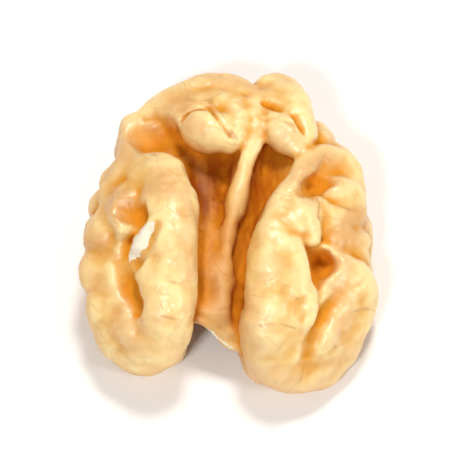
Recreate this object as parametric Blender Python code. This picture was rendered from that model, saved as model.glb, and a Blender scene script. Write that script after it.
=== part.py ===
"""A walnut half: one of the two seed leaves of a walnut kernel, lying on its inner face, folds up.

Blender 4.5, metres, +Z up. X runs across the two lobes, Y from the base end, where the lobes part,
to the tip end, where they are joined. The origin is on the surface that the half lies on, under the
middle of its box.

The kernel grew against the inner wall of a nutshell, so the crest of every fold of the outer side
touches that wall, or lies a stated depth under it. The folds are laid out as they look to somebody
who sees the half from SIGHT_ELEVATION above the table, from its base end: u is to the right and v
is up in that view, both in millimetres from the middle of the half. The folds of the side walls are
laid out round the shell instead: turn is in degrees, 0 to the right and 90 to the tip end.

Every fold is a round strand of clay. The strands are blended into one lump in a field of distances
from its surface, which is an OpenVDB volume, grooves and pits are pressed into it, and the volume
is then turned into a mesh.
"""

import math

import bpy
import numpy as np
import openvdb
from mathutils import Vector, noise

MM = 0.001

# Driving dimensions of the kernel, in millimetres
HALF_WIDTH = 14.8
HALF_LENGTH = 16.6
RIM_HEIGHT = 3.0
CROWN_HEIGHT = 13.6
PLAN_POWER = 2.5
RISE_POWER = 2.2

# The direction in which the folds are laid out
SIGHT_ELEVATION = math.radians(66.0)
SIGHT_MIDDLE = Vector((0.0, 0.0, 6.0))
SIGHT_RAISE = -0.7
SIGHT_STEP = 0.05
SIGHT_REACH = 30.0

# The block of clay and how finely it is modelled
BLOCK_LOW = (-16.5, -18.0, -1.5)
BLOCK_HIGH = (16.5, 18.0, 15.5)
GRAIN = 0.4
MOST_TRIANGLES = 11600
FAR = 50.0
STRAND_STEP = 0.9
WOBBLE = 0.09
WOBBLE_LENGTH = 2.3

# Folds of the outer side: a blend width, then (u, v, depth under the shell wall, radius) along the crest
OUTER_FOLDS = {
    "left lobe, inner arm": (0.6, [
        (-6.2, 5.6, 0.9, 2.0), (-5.5, 3.2, 0.3, 2.3), (-5.4, 0.2, 0.0, 2.4), (-5.4, -3.4, 0.0, 2.45),
        (-5.6, -6.8, 0.0, 2.5), (-6.5, -9.9, 0.2, 2.7), (-8.3, -11.1, 0.3, 2.6), (-10.3, -10.0, 0.4, 2.4),
    ]),
    "left lobe, inner arm's broad side": (1.6, [
        (-7.3, 5.0, 1.1, 1.9), (-6.9, 2.6, 0.7, 1.8), (-6.9, 0.0, 0.6, 1.9), (-7.5, -2.6, 0.5, 2.0),
        (-6.9, -5.2, 0.3, 1.8), (-6.9, -7.2, 0.3, 1.9), (-8.0, -9.2, 0.3, 2.2),
    ]),
    "left lobe, inner arm's top end": (0.9, [
        (-5.6, 5.7, 1.3, 1.5), (-7.1, 6.4, 1.7, 1.3), (-8.8, 6.5, 2.1, 1.3),
    ]),
    "left lobe, inner arm's flank": (0.9, [
        (-6.2, 5.4, 3.4, 2.2), (-5.5, 2.0, 3.4, 2.3), (-5.4, -3.0, 3.4, 2.4), (-5.8, -7.0, 3.2, 2.5),
        (-7.2, -9.4, 3.0, 2.5),
    ]),
    "left lobe, saddle": (1.4, [(-8.6, 5.8, 1.9, 1.5), (-8.6, 4.4, 1.6, 1.4), (-9.6, 3.2, 1.8, 1.4)]),
    "left lobe, scalloped outer arm": (0.5, [
        (-11.3, 2.2, 1.1, 1.6), (-12.0, 0.7, 0.7, 1.7), (-12.1, -0.8, 0.4, 1.85), (-12.0, -2.2, 1.0, 1.5),
        (-12.5, -3.9, 0.3, 2.15), (-12.2, -5.8, 0.9, 1.75), (-11.8, -7.4, 0.4, 2.25),
        (-11.0, -9.0, 0.5, 2.2), (-10.2, -10.3, 0.5, 2.3),
    ]),
    "left lobe, slope to the groove": (1.4, [
        (-10.6, 0.2, 1.6, 1.3), (-10.9, -1.8, 1.5, 1.3), (-11.0, -4.2, 1.2, 1.5), (-10.8, -6.6, 0.9, 1.7),
        (-9.8, -8.8, 0.5, 2.0),
    ]),
    "left lobe, fold over the pit": (0.6, [
        (-8.9, 3.8, 1.3, 1.0), (-10.2, 3.9, 1.4, 1.3), (-11.5, 3.1, 1.3, 1.5),
    ]),
    "left shoulder": (0.6, [
        (-9.5, 10.6, 2.0, 1.4), (-9.8, 8.8, 1.8, 1.4), (-9.8, 6.8, 1.6, 1.4), (-10.5, 5.1, 1.4, 1.5),
        (-11.5, 3.8, 1.2, 1.5),
    ]),
    "left lobe, lip under the pit": (0.6, [
        (-8.2, 0.7, 1.0, 1.0), (-9.5, 0.5, 1.4, 0.9), (-10.6, 0.9, 1.3, 0.9),
    ]),
    "tip rim, left": (0.4, [
        (-9.4, 10.6, 2.5, 1.2), (-7.4, 11.9, 2.0, 1.5), (-5.0, 13.1, 1.2, 1.6), (-2.6, 14.1, 0.8, 1.6),
        (-0.4, 14.4, 0.8, 1.5), (1.4, 14.2, 1.2, 1.2),
    ]),
    "tip rim, right knob": (0.4, [
        (4.0, 14.2, 1.1, 1.3), (5.0, 14.2, 0.6, 1.9), (6.2, 13.0, 0.6, 1.9), (7.2, 11.2, 0.8, 1.7),
        (7.6, 9.4, 1.1, 1.5), (7.0, 8.2, 1.6, 1.1),
    ]),
    "tip, cap": (1.4, [(-3.4, 13.2, 1.3, 1.4), (-1.2, 13.6, 1.0, 1.5), (1.0, 13.4, 1.1, 1.4)]),
    "left bulb": (0.6, [
        (-3.5, 10.2, 1.6, 1.6), (-2.5, 10.1, 0.9, 2.1), (-1.1, 9.9, 0.9, 2.0), (-0.3, 9.8, 1.5, 1.6),
    ]),
    "fold over the left bulb": (1.2, [
        (-4.6, 11.6, 1.7, 1.3), (-2.8, 12.3, 1.1, 1.5), (-0.8, 12.4, 0.9, 1.6), (0.6, 11.6, 1.0, 1.5),
        (1.0, 10.4, 1.2, 1.3), (0.7, 9.2, 1.8, 1.0), (0.3, 8.4, 2.8, 0.8),
    ]),
    "spine": (0.8, [
        (2.4, 13.7, 1.3, 1.1), (2.6, 11.4, 1.5, 1.1), (2.5, 9.0, 2.2, 1.1), (1.8, 6.6, 3.1, 1.0),
        (1.1, 4.2, 3.7, 0.95), (0.4, 1.2, 4.0, 0.9), (-0.1, -2.0, 4.1, 0.85), (-0.4, -5.0, 4.3, 0.8),
        (-0.5, -7.6, 4.6, 0.7), (-0.3, -9.6, 5.2, 0.5),
    ]),
    "spine's foot": (1.2, [
        (2.6, 10.0, 4.0, 1.6), (1.9, 6.0, 5.2, 1.5), (1.0, 2.0, 5.8, 1.4), (0.2, -2.0, 5.8, 1.3),
        (-0.3, -6.0, 5.6, 1.2), (-0.2, -8.6, 5.8, 0.9),
    ]),
    "trough, left floor": (1.6, [
        (-3.6, 6.6, 6.2, 1.6), (-2.2, 3.0, 6.4, 1.4), (-1.9, -1.0, 5.0, 1.4), (-1.9, -4.4, 4.5, 1.4),
        (-1.9, -7.4, 4.5, 1.1),
    ]),
    "trough, right floor": (1.2, [
        (5.0, 6.4, 6.0, 1.8), (3.4, 3.4, 6.6, 1.5), (2.2, 0.0, 6.8, 1.3), (1.2, -5.0, 6.6, 1.1),
        (0.8, -8.6, 6.2, 0.9),
    ]),
    "torn sheet": (0.6, [
        (-3.8, -7.2, 4.4, 0.8), (-2.2, -7.6, 4.6, 0.8), (-0.8, -8.6, 5.0, 0.8), (0.6, -9.8, 5.4, 0.8),
        (1.6, -10.2, 5.4, 0.8),
    ]),
    "torn sheet's edge": (0.5, [
        (-4.0, -8.3, 4.5, 0.55), (-2.8, -8.5, 4.6, 0.5), (-1.6, -9.1, 4.9, 0.45), (-0.7, -9.9, 5.2, 0.5),
        (0.1, -10.9, 5.4, 0.45), (1.0, -11.1, 5.5, 0.5), (1.8, -11.0, 5.5, 0.5),
    ]),
    "bed of the right bulb": (1.2, [(4.0, 13.0, 1.4, 1.3), (5.4, 12.0, 1.2, 1.5), (6.6, 10.8, 1.3, 1.4)]),
    "right bulb": (0.5, [
        (4.9, 11.0, 1.4, 1.5), (5.4, 9.9, 0.9, 1.9), (6.0, 9.2, 1.3, 1.7),
    ]),
    "right lobe, inner arm round to the outer arm": (0.6, [
        (5.2, 1.6, 0.6, 1.8), (4.4, -0.8, 0.2, 2.15), (4.3, -3.8, 0.0, 2.4), (4.1, -7.0, 0.0, 2.6),
        (4.0, -10.0, 0.2, 2.8), (4.9, -12.5, 0.3, 2.8), (7.4, -13.2, 0.4, 2.6), (9.9, -12.1, 0.5, 2.4),
        (11.6, -9.8, 0.5, 2.2), (12.4, -7.2, 0.5, 2.2), (12.5, -5.4, 0.5, 2.2), (12.0, -4.3, 0.7, 1.9),
    ]),
    "right lobe, knuckle": (1.0, [
        (6.1, -2.7, -0.2, 1.8), (6.3, -4.3, -0.1, 1.8), (6.2, -6.4, 0.2, 1.8), (5.9, -8.6, 0.4, 1.9),
        (6.2, -10.8, 0.6, 2.0),
    ]),
    "right lobe, inner arm's flank": (0.9, [
        (6.0, 1.6, 3.2, 2.2), (4.9, -1.0, 3.4, 2.3), (4.6, -4.0, 3.4, 2.4), (4.2, -7.2, 3.2, 2.5),
        (4.4, -10.0, 3.0, 2.6),
    ]),
    "right lobe, hook over the hole": (0.4, [
        (5.4, 1.2, 0.6, 1.8), (6.6, 1.1, 0.4, 1.8), (7.7, 0.5, 0.5, 1.5), (8.0, -0.6, 0.9, 1.1),
    ]),
    "right lobe, bed of the grooves": (1.6, [
        (8.6, -6.8, 1.5, 1.2), (8.6, -8.6, 1.1, 1.3), (8.4, -10.6, 0.8, 1.6), (8.4, -12.0, 0.7, 1.8),
    ]),
    "right lobe, inner slope of the outer arm": (1.5, [
        (11.0, -3.6, 1.4, 1.3), (11.3, -5.6, 1.0, 1.5), (11.0, -8.2, 0.8, 1.6), (10.2, -10.4, 0.7, 1.8),
    ]),
    "right lobe, fine fold in the groove": (0.4, [
        (9.6, -4.9, 1.9, 0.7), (9.2, -6.3, 1.2, 0.8), (8.7, -7.8, 0.9, 0.85), (8.2, -9.2, 0.8, 0.8),
    ]),
    "right lobe, cup": (0.5, [
        (7.2, 5.6, 1.2, 1.2), (7.9, 6.8, 1.3, 1.2), (9.2, 7.5, 1.4, 1.2), (10.7, 7.5, 1.3, 1.2),
        (11.8, 6.7, 1.1, 1.3), (12.2, 5.0, 0.9, 1.4), (12.1, 3.2, 0.7, 1.6), (12.0, 1.6, 0.9, 1.5),
    ]),
    "right lobe, bank of the trough": (0.7, [
        (4.8, 1.4, 1.0, 1.5), (5.5, 2.7, 1.0, 1.5), (6.3, 4.0, 1.1, 1.4), (7.1, 5.2, 1.3, 1.3),
        (8.0, 6.5, 1.6, 1.1),
    ]),
    "right lobe, floor of the cup": (1.0, [
        (8.9, 6.0, 2.4, 1.5), (10.2, 6.2, 2.0, 1.5), (11.2, 5.6, 1.7, 1.3),
    ]),
    "right lobe, fold under the cup": (0.5, [
        (9.9, 3.8, 1.2, 1.6), (11.2, 4.2, 0.9, 1.6), (12.0, 4.8, 0.9, 1.2),
    ]),
    "right lobe, dome under the cup": (1.2, [
        (10.9, 3.2, 0.7, 2.1), (11.1, 1.6, 0.9, 1.9), (9.8, 1.2, 1.1, 1.6),
    ]),
    "right lobe, dome beside it": (1.0, [
        (6.8, 3.1, 0.9, 1.7), (7.0, 1.8, 0.5, 1.9), (8.4, 2.4, 1.0, 1.5),
    ]),
    "right lobe, low bank over the hole": (0.9, [
        (9.5, 0.2, 1.6, 1.3), (10.6, -0.5, 1.5, 1.5), (11.9, -0.8, 1.5, 1.4), (12.9, -1.0, 1.6, 1.2),
    ]),
    "right lobe, ledge over the hole": (0.3, [
        (9.3, -1.6, 1.9, 0.5), (10.6, -1.7, 1.7, 0.5), (11.8, -1.8, 1.6, 0.5), (12.8, -2.0, 1.7, 0.5),
    ]),
    "right lobe, knots over the hole": (0.4, [
        (9.6, 0.6, 1.4, 0.6), (10.4, 0.9, 1.2, 0.75), (11.2, 0.2, 1.2, 0.7), (10.4, -0.6, 1.3, 0.75),
        (11.5, -1.0, 1.3, 0.7), (12.4, -0.2, 1.2, 0.75),
    ]),
}

# Folds of the side walls: a blend width, then (turn, height, depth under the shell wall, radius)
WALL_FOLDS = {
    "tip, left of the middle": (0.4, [
        (104.0, 2.2, 0.5, 2.0), (102.0, 5.0, 0.2, 2.1), (97.0, 8.0, 0.5, 1.9),
    ]),
    "tip, left": (0.4, [(121.0, 2.4, 0.9, 1.9), (117.0, 5.0, 0.7, 2.0), (117.0, 7.8, 1.2, 1.8)]),
    "left shoulder": (0.4, [(136.0, 2.4, 1.7, 1.9), (137.0, 5.0, 1.8, 1.9), (131.0, 7.6, 2.1, 1.7)]),
    "left shoulder, lower": (0.4, [
        (153.0, 2.4, 1.7, 1.9), (155.0, 5.0, 1.6, 1.9), (149.0, 7.4, 2.1, 1.7),
    ]),
    "left, over the pit": (0.4, [(166.0, 2.4, 1.0, 1.8), (168.0, 5.0, 0.9, 1.8), (165.0, 7.8, 1.3, 1.7)]),
    "left, first scallop": (0.4, [(182.0, 2.3, 0.5, 1.9), (182.0, 4.8, 0.3, 1.9), (180.0, 7.8, 0.8, 1.8)]),
    "left, second scallop": (0.4, [(199.0, 2.3, 0.5, 1.9), (198.0, 4.8, 0.1, 2.0), (196.0, 7.8, 0.8, 1.9)]),
    "left, third scallop": (0.4, [(219.0, 2.2, 0.6, 2.1), (215.0, 4.8, 0.3, 2.1), (212.0, 7.6, 1.1, 2.0)]),
    "left, corner": (0.4, [(235.0, 2.2, 1.1, 2.1), (232.0, 4.6, 1.0, 2.2), (228.0, 7.4, 1.5, 2.0)]),
    "left, end": (0.4, [(242.0, 2.2, 2.0, 1.7), (241.0, 4.4, 1.9, 1.9), (240.0, 7.0, 2.1, 2.0)]),
    "right, end": (0.4, [(285.0, 2.3, 0.8, 2.1), (289.0, 4.8, 0.4, 2.3), (293.0, 7.6, 1.1, 2.2)]),
    "right, corner": (0.4, [(301.0, 2.2, 0.5, 2.1), (306.0, 4.8, 0.4, 2.2), (311.0, 7.6, 1.4, 2.1)]),
    "right, third": (0.4, [(319.0, 2.3, 0.5, 2.1), (324.0, 5.0, 0.4, 2.2), (331.0, 7.8, 1.1, 2.0)]),
    "right, second": (0.4, [(338.0, 2.4, 0.4, 2.0), (342.0, 5.0, 0.2, 2.1), (348.0, 7.4, 0.8, 1.9)]),
    "right, first": (0.4, [(354.0, 2.4, 0.5, 2.0), (359.0, 5.0, 0.5, 2.0), (362.0, 7.8, 1.0, 1.7)]),
    "right, beside the cup": (0.4, [(10.0, 2.4, 0.8, 1.9), (16.0, 5.0, 0.7, 2.0), (14.0, 8.0, 1.1, 1.8)]),
    "right shoulder": (0.4, [(27.0, 2.6, 1.2, 1.9), (33.0, 5.2, 1.2, 1.9), (29.0, 8.0, 1.5, 1.7)]),
    "right shoulder, upper": (0.4, [(45.0, 2.6, 1.6, 1.9), (48.0, 5.2, 1.7, 1.9), (44.0, 7.6, 2.0, 1.6)]),
    "tip, right": (0.4, [(60.0, 2.4, 0.9, 1.9), (63.0, 5.0, 0.8, 1.9), (60.0, 7.8, 1.3, 1.7)]),
    "tip, right knob": (0.4, [(73.0, 2.3, 0.6, 1.9), (77.0, 4.8, 0.3, 2.0), (73.0, 7.8, 0.7, 1.9)]),
    "tip, middle": (0.4, [(88.0, 2.2, 0.5, 1.9), (90.0, 4.6, 0.4, 1.8), (87.0, 7.4, 1.0, 1.4)]),
}

# How each of them goes on under the rim, towards the middle of its lobe
UNDERSIDE_REACH = 2.8
UNDERSIDE_RISE = 0.7
UNDERSIDE_THINNING = 0.3
LOBE_MIDDLE = 7.0
LOBE_SHARE = 0.5

# Folds of the inner face, and its rim: a blend width, then (x, y, z, radius)
INNER_FOLDS = {
    "left rim": (0.9, [
        (-5.2, -8.8, 2.9, 1.4), (-6.0, -11.0, 2.2, 1.7), (-8.2, -12.5, 1.5, 1.9), (-10.6, -11.2, 2.1, 1.8),
        (-12.0, -8.0, 2.5, 1.7), (-12.3, -4.0, 2.4, 1.7), (-11.9, 0.0, 2.2, 1.6), (-11.2, 3.5, 2.4, 1.6),
        (-9.8, 7.0, 2.5, 1.6), (-8.8, 10.0, 2.5, 1.6), (-6.6, 12.2, 2.4, 1.7), (-3.2, 13.8, 2.0, 1.8),
        (0.6, 14.2, 1.7, 1.7),
    ]),
    "right rim": (0.9, [
        (2.6, -9.4, 2.9, 1.4), (2.9, -12.2, 2.3, 1.8), (5.8, -14.0, 1.7, 1.8), (9.4, -12.8, 1.9, 1.8),
        (11.6, -9.8, 2.2, 1.7), (12.5, -5.0, 2.4, 1.6), (12.4, 0.0, 2.4, 1.6), (11.8, 4.0, 2.4, 1.6),
        (10.3, 7.4, 2.5, 1.6), (8.3, 10.3, 2.4, 1.7), (5.4, 12.9, 2.2, 1.7), (3.0, 13.8, 2.2, 1.5),
    ]),
    "left, first ray": (0.8, [(-3.2, 2.0, 4.3, 1.5), (-6.4, 5.0, 3.8, 1.3), (-9.4, 6.4, 2.6, 1.2)]),
    "left, second ray": (0.8, [(-3.4, -0.6, 4.3, 1.5), (-7.4, 0.2, 4.0, 1.3), (-11.2, 0.6, 2.6, 1.2)]),
    "left, third ray": (0.8, [(-3.8, -3.0, 4.3, 1.5), (-7.6, -4.4, 4.0, 1.3), (-11.6, -5.6, 2.6, 1.2)]),
    "left, fourth ray": (0.8, [(-4.2, -5.4, 4.2, 1.5), (-6.8, -8.2, 3.8, 1.3), (-9.2, -11.2, 2.4, 1.2)]),
    "right, first ray": (0.8, [(3.4, 2.6, 4.3, 1.5), (6.4, 6.0, 3.8, 1.3), (8.8, 8.8, 2.6, 1.2)]),
    "right, second ray": (0.8, [(3.6, 0.0, 4.3, 1.5), (7.6, 1.6, 4.0, 1.3), (11.6, 2.4, 2.6, 1.2)]),
    "right, third ray": (0.8, [(3.6, -3.0, 4.3, 1.5), (7.8, -3.4, 4.0, 1.3), (11.8, -3.8, 2.6, 1.2)]),
    "right, fourth ray": (0.8, [(3.6, -5.6, 4.2, 1.5), (6.6, -8.6, 3.8, 1.3), (9.6, -11.4, 2.4, 1.2)]),
    "middle seam": (0.9, [
        (0.6, 12.8, 2.6, 1.4), (0.2, 8.6, 3.2, 1.5), (-0.2, 3.0, 3.6, 1.4), (-0.6, -3.0, 3.6, 1.4),
    ]),
}

# Solid flesh under the folds: a blend width, the middle and the half sizes
CORES = {
    "left lobe": (0.8, (-8.2, -4.2, 6.0), (4.6, 8.6, 3.8)),
    "left lobe, crown": (0.8, (-6.4, -3.4, 8.4), (2.6, 6.4, 2.6)),
    "left lobe, under the pit": (0.8, (-8.8, 3.0, 7.3), (2.9, 3.8, 2.2)),
    "left shoulder": (0.8, (-7.6, 5.6, 5.2), (3.4, 6.4, 3.2)),
    "right lobe": (0.8, (8.0, -4.8, 6.0), (4.8, 9.0, 3.8)),
    "right lobe, crown": (0.8, (5.6, -4.4, 8.4), (2.6, 6.4, 2.6)),
    "right shoulder": (0.8, (8.6, 3.8, 6.0), (4.0, 6.2, 4.0)),
    "tip": (0.8, (0.2, 10.8, 6.0), (7.8, 3.8, 4.4)),
    "bridge": (1.5, (-0.2, 0.8, 4.9), (4.6, 10.6, 1.5)),
}

# Grooves and pits of the outer side: a blend width, then (u, v, depth under the surface, radius)
GROOVES = {
    "left pit": (1.0, [(-10.4, 2.0, 0.1, 0.3), (-9.8, 2.0, 0.3, 0.3), (-9.1, 1.6, 0.25, 0.3)]),
    "left groove": (0.7, [
        (-11.1, -2.9, 0.2, 0.3), (-10.3, -3.6, 0.7, 0.3), (-9.5, -4.6, 1.1, 0.3), (-9.0, -5.8, 1.3, 0.3),
        (-8.9, -6.8, 1.0, 0.3), (-9.1, -7.7, 0.3, 0.3),
    ]),
    "left crease": (0.4, [(-10.5, 1.0, 0.2, 0.25), (-10.0, -0.6, 0.4, 0.25), (-10.3, -2.4, 0.3, 0.25)]),
    "left arm, scallop crease": (0.4, [
        (-13.4, -2.1, 0.3, 0.25), (-12.6, -2.2, 0.25, 0.25), (-11.6, -2.5, 0.1, 0.25),
    ]),
    "left arm, lower scallop crease": (0.4, [(-13.5, -5.9, 0.25, 0.25), (-12.6, -5.7, 0.1, 0.25)]),
    "right hole": (0.6, [(8.4, -2.5, 0.9, 0.3), (9.2, -2.7, 1.4, 0.35), (9.9, -2.9, 0.8, 0.3)]),
    "right hole, lower corner": (0.6, [(9.2, -3.1, 1.2, 0.3), (8.7, -3.9, 1.2, 0.3), (8.6, -4.8, 0.4, 0.3)]),
    "right groove": (0.6, [
        (10.7, -6.0, 0.3, 0.25), (10.1, -6.9, 0.8, 0.3), (9.6, -7.9, 0.8, 0.3), (9.2, -9.1, 0.2, 0.25),
    ]),
    "right fine groove": (0.6, [
        (7.8, -6.0, 0.15, 0.25), (7.6, -7.4, 0.4, 0.25), (7.7, -9.0, 0.3, 0.25), (7.9, -11.2, 0.15, 0.25),
    ]),
    "cup crease": (0.6, [
        (6.9, 4.0, 0.2, 0.25), (7.9, 4.5, 0.5, 0.25), (8.7, 4.8, 0.7, 0.3), (9.8, 5.1, 0.2, 0.25),
    ]),
    "hollow by the left bulb": (1.4, [
        (-8.0, 10.3, 0.3, 0.3), (-7.2, 9.6, 0.6, 0.3), (-6.4, 8.9, 0.6, 0.3),
    ]),
    "knob crease": (0.5, [(3.6, 12.8, 0.15, 0.2), (4.3, 12.5, 0.3, 0.2), (5.1, 12.3, 0.15, 0.2)]),
    "bulb crease": (0.5, [(6.6, 11.5, 0.1, 0.2), (7.1, 10.5, 0.3, 0.2), (7.4, 9.8, 0.25, 0.2)]),
    "bulb's upper crease": (0.5, [(-4.5, 11.2, 0.15, 0.2), (-3.6, 11.8, 0.15, 0.2), (-2.4, 12.0, 0.1, 0.2)]),
    "bulb's right crease": (0.4, [
        (-1.8, 12.9, 0.1, 0.2), (-1.2, 11.9, 0.2, 0.2), (-0.3, 10.7, 0.25, 0.2), (0.3, 9.5, 0.3, 0.2),
        (1.0, 8.8, 0.3, 0.2),
    ]),
    "step over the knuckle": (0.3, [
        (4.6, -1.3, 0.1, 0.2), (5.4, -0.9, 0.3, 0.25), (6.5, -0.75, 0.3, 0.25),
    ]),
}

# How far the lowest spots are worn flat, in millimetres, where the half rests
FLATTENING = 0.12

# Each groove is pressed in again at these shares of its depth nearer to the surface, wider each time,
# and with softer edges
GROOVE_LIFTS = (0.0, 0.35, 0.7, 1.0)
GROOVE_FLARE = 0.6
GROOVE_FIRMNESS = 0.3

# Swells of the whole surface: height, wave length and seed
SWELLS = [(0.14, 6.5, 3), (0.08, 3.1, 8)]
WAVES = 14

KERNEL_COLOUR = (0.80, 0.50, 0.22, 1.0)
KERNEL_ROUGHNESS = 0.5


def shell_level(point):
    """Under 1 inside the nutshell's inner wall and over 1 outside it."""
    plan = abs(point.x / HALF_WIDTH) ** PLAN_POWER + abs(point.y / HALF_LENGTH) ** PLAN_POWER
    rise = max(0.0, point.z - RIM_HEIGHT) / (CROWN_HEIGHT - RIM_HEIGHT)
    drop = max(0.0, RIM_HEIGHT - point.z) / RIM_HEIGHT
    return plan + rise**RISE_POWER + drop**RISE_POWER


def sight_to(u, v):
    """Points on the line of sight through (u, v), the nearest to the eye first, and its direction."""
    forward = Vector((0.0, math.cos(SIGHT_ELEVATION), -math.sin(SIGHT_ELEVATION)))
    up = Vector((0.0, math.sin(SIGHT_ELEVATION), math.cos(SIGHT_ELEVATION)))
    start = SIGHT_MIDDLE + Vector((u, 0.0, 0.0)) + up * (v + SIGHT_RAISE) - forward * SIGHT_REACH
    steps = int(2 * SIGHT_REACH / SIGHT_STEP)
    return [start + forward * (step * SIGHT_STEP) for step in range(steps)], forward


def seen_at(u, v, under):
    """The point on the line of sight through (u, v), this far under the shell's wall."""
    points, forward = sight_to(u, v)
    nearest = points[0]
    for point in points:
        if shell_level(point) < shell_level(nearest):
            nearest = point
        if shell_level(point) < 1.0:
            break
    return nearest + forward * under


def wall_at(turn, height, under):
    """The point this high on the shell's side wall, towards this turn, and this far inside the wall."""
    rise = max(0.0, height - RIM_HEIGHT) / (CROWN_HEIGHT - RIM_HEIGHT)
    drop = max(0.0, RIM_HEIGHT - height) / RIM_HEIGHT
    across, along_y = math.cos(math.radians(turn)), math.sin(math.radians(turn))
    plan = abs(across / HALF_WIDTH) ** PLAN_POWER + abs(along_y / HALF_LENGTH) ** PLAN_POWER
    reach = ((1.0 - rise**RISE_POWER - drop**RISE_POWER) / plan) ** (1.0 / PLAN_POWER) - under
    return Vector((across * reach, along_y * reach, height))


def under_rim(x, y, z, radius):
    """Where a wall fold that comes down at this point ends, on the inner face."""
    middle = Vector((math.copysign(min(abs(x), LOBE_MIDDLE), x), LOBE_SHARE * y, z))
    way = (middle - Vector((x, y, z))).normalized() * UNDERSIDE_REACH
    return (x + way.x, y + way.y, z + UNDERSIDE_RISE, radius - UNDERSIDE_THINNING)


def curve_through(points):
    """Points and radii on a smooth curve through the given ones, with the uneven swell of a grown fold."""
    ends = [points[0], *points, points[-1]]
    strand = []
    for i in range(1, len(ends) - 2):
        before, start, end, after = (Vector(p) for p in ends[i - 1 : i + 3])
        count = max(1, math.ceil((end - start).xyz.length / STRAND_STEP))
        for k in range(count):
            t = k / count
            strand.append(
                start
                + (end - before) * 0.5 * t
                + (before * 2 - start * 5 + end * 4 - after) * 0.5 * t**2
                + (start * 3 - before - end * 3 + after) * 0.5 * t**3
            )
    strand.append(Vector(points[-1]))
    for bead in strand:
        bead.w *= 1.0 + WOBBLE * noise.noise(bead.xyz / WOBBLE_LENGTH)
    return strand


class Clay:
    """A block of distances from the lump's surface, in millimetres: negative inside it."""

    def __init__(self, grain):
        self.low = np.array(BLOCK_LOW)
        self.grain = grain
        self.counts = np.ceil((np.array(BLOCK_HIGH) - self.low) / grain).astype(int) + 1
        self.field = np.full(self.counts, FAR)

    def part_of(self, low, high):
        """The block's part between two corners: its slices, and its x, y and z."""
        first = np.clip(np.floor((np.array(low) - self.low) / self.grain), 0, self.counts).astype(int)
        last = np.clip(np.ceil((np.array(high) - self.low) / self.grain) + 1, 0, self.counts).astype(int)
        where = tuple(slice(a, b) for a, b in zip(first, last))
        grids = [self.low[i] + self.grain * np.arange(first[i], last[i]) for i in range(3)]
        return where, np.meshgrid(*grids, indexing="ij", sparse=True)

    def strand(self, points, blend):
        """The block's part round a strand of round segments, and its distances from the strand."""
        margin = max(p.w for p in points) + blend + 2.5 * self.grain
        low = [min(p[i] for p in points) - margin for i in range(3)]
        high = [max(p[i] for p in points) + margin for i in range(3)]
        where, _ = self.part_of(low, high)
        own = np.full([cut.stop - cut.start for cut in where], FAR)
        for start, end in zip(points, points[1:]):
            low = [min(a, b) - margin for a, b in zip(start.xyz, end.xyz)]
            high = [max(a, b) + margin for a, b in zip(start.xyz, end.xyz)]
            near, (x, y, z) = self.part_of(low, high)
            near = tuple(slice(n.start - w.start, n.stop - w.start) for n, w in zip(near, where))
            run = end.xyz - start.xyz
            from_start = (x - start.x, y - start.y, z - start.z)
            share = sum(d * r for d, r in zip(from_start, run)) / max(run.length_squared, 1e-9)
            share = np.clip(share, 0.0, 1.0)
            gap = np.sqrt(sum((d - share * r) ** 2 for d, r in zip(from_start, run)))
            own[near] = np.minimum(own[near], gap - start.w - share * (end.w - start.w))
        return where, own

    def add(self, where, own, blend):
        """Blends another lump in."""
        field = self.field[where]
        share = np.clip(0.5 + 0.5 * (own - field) / blend, 0.0, 1.0)
        self.field[where] = own + (field - own) * share - blend * share * (1.0 - share)

    def press(self, where, own, blend):
        """Presses another lump in and takes it out again."""
        field = self.field[where]
        share = np.clip(0.5 - 0.5 * (own + field) / blend, 0.0, 1.0)
        self.field[where] = field - (own + field) * share + blend * share * (1.0 - share)

    def add_core(self, middle, sizes, blend):
        where, grids = self.part_of(BLOCK_LOW, BLOCK_HIGH)
        share = np.sqrt(sum(((g - m) / s) ** 2 for g, m, s in zip(grids, middle, sizes)))
        self.add(where, (share - 1.0) * min(sizes), blend)

    def surface_at(self, u, v):
        """The point of the surface that is seen at (u, v), and the direction of sight."""
        points, forward = sight_to(u, v)
        for point in points:
            index = np.round((np.array(point) - self.low) / self.grain).astype(int)
            if (index >= 0).all() and (index < self.counts).all() and self.field[tuple(index)] < 0.0:
                break
        return point, forward

    def groove(self, line, blend):
        """Presses a groove that follows the surface and has open flanks."""
        marks = [(*self.surface_at(u, v), depth, radius) for u, v, depth, radius in line]
        for lift in GROOVE_LIFTS:
            beads = [
                (*(point + forward * ((1.0 - lift) * depth - radius)), radius + GROOVE_FLARE * lift * depth)
                for point, forward, depth, radius in marks
            ]
            firm = GROOVE_FIRMNESS + (1.0 - GROOVE_FIRMNESS) * lift
            self.press(*self.strand(curve_through(beads), blend), blend * firm)

    def swell(self, height, length, seed):
        """Raises and lowers the surface a little, unevenly."""
        random = np.random.default_rng(seed)
        where, (x, y, z) = self.part_of(BLOCK_LOW, BLOCK_HIGH)
        for _ in range(WAVES):
            way = random.normal(size=3)
            way *= math.tau / (length * np.linalg.norm(way))
            start = random.uniform(0.0, math.tau)
            self.field += height / math.sqrt(WAVES) * np.sin(way[0] * x + way[1] * y + way[2] * z + start)

    def skin(self):
        """The surface as points and four-sided faces, without any bubble or crumb of clay."""
        volume = openvdb.FloatGrid(FAR)
        volume.copyFromArray(self.field.astype(np.float32))
        points, faces = volume.convertToQuads(isovalue=0.0)
        label = np.arange(len(points))
        while True:
            least = label.copy()
            np.minimum.at(least, faces.ravel(), np.repeat(label[faces].min(axis=1), 4))
            least = least[least]
            if (least == label).all():
                break
            label = least
        kept = label == np.bincount(label).argmax()
        number = np.cumsum(kept) - 1
        return self.low + self.grain * points[kept], number[faces[kept[faces[:, 0]]]]


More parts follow.
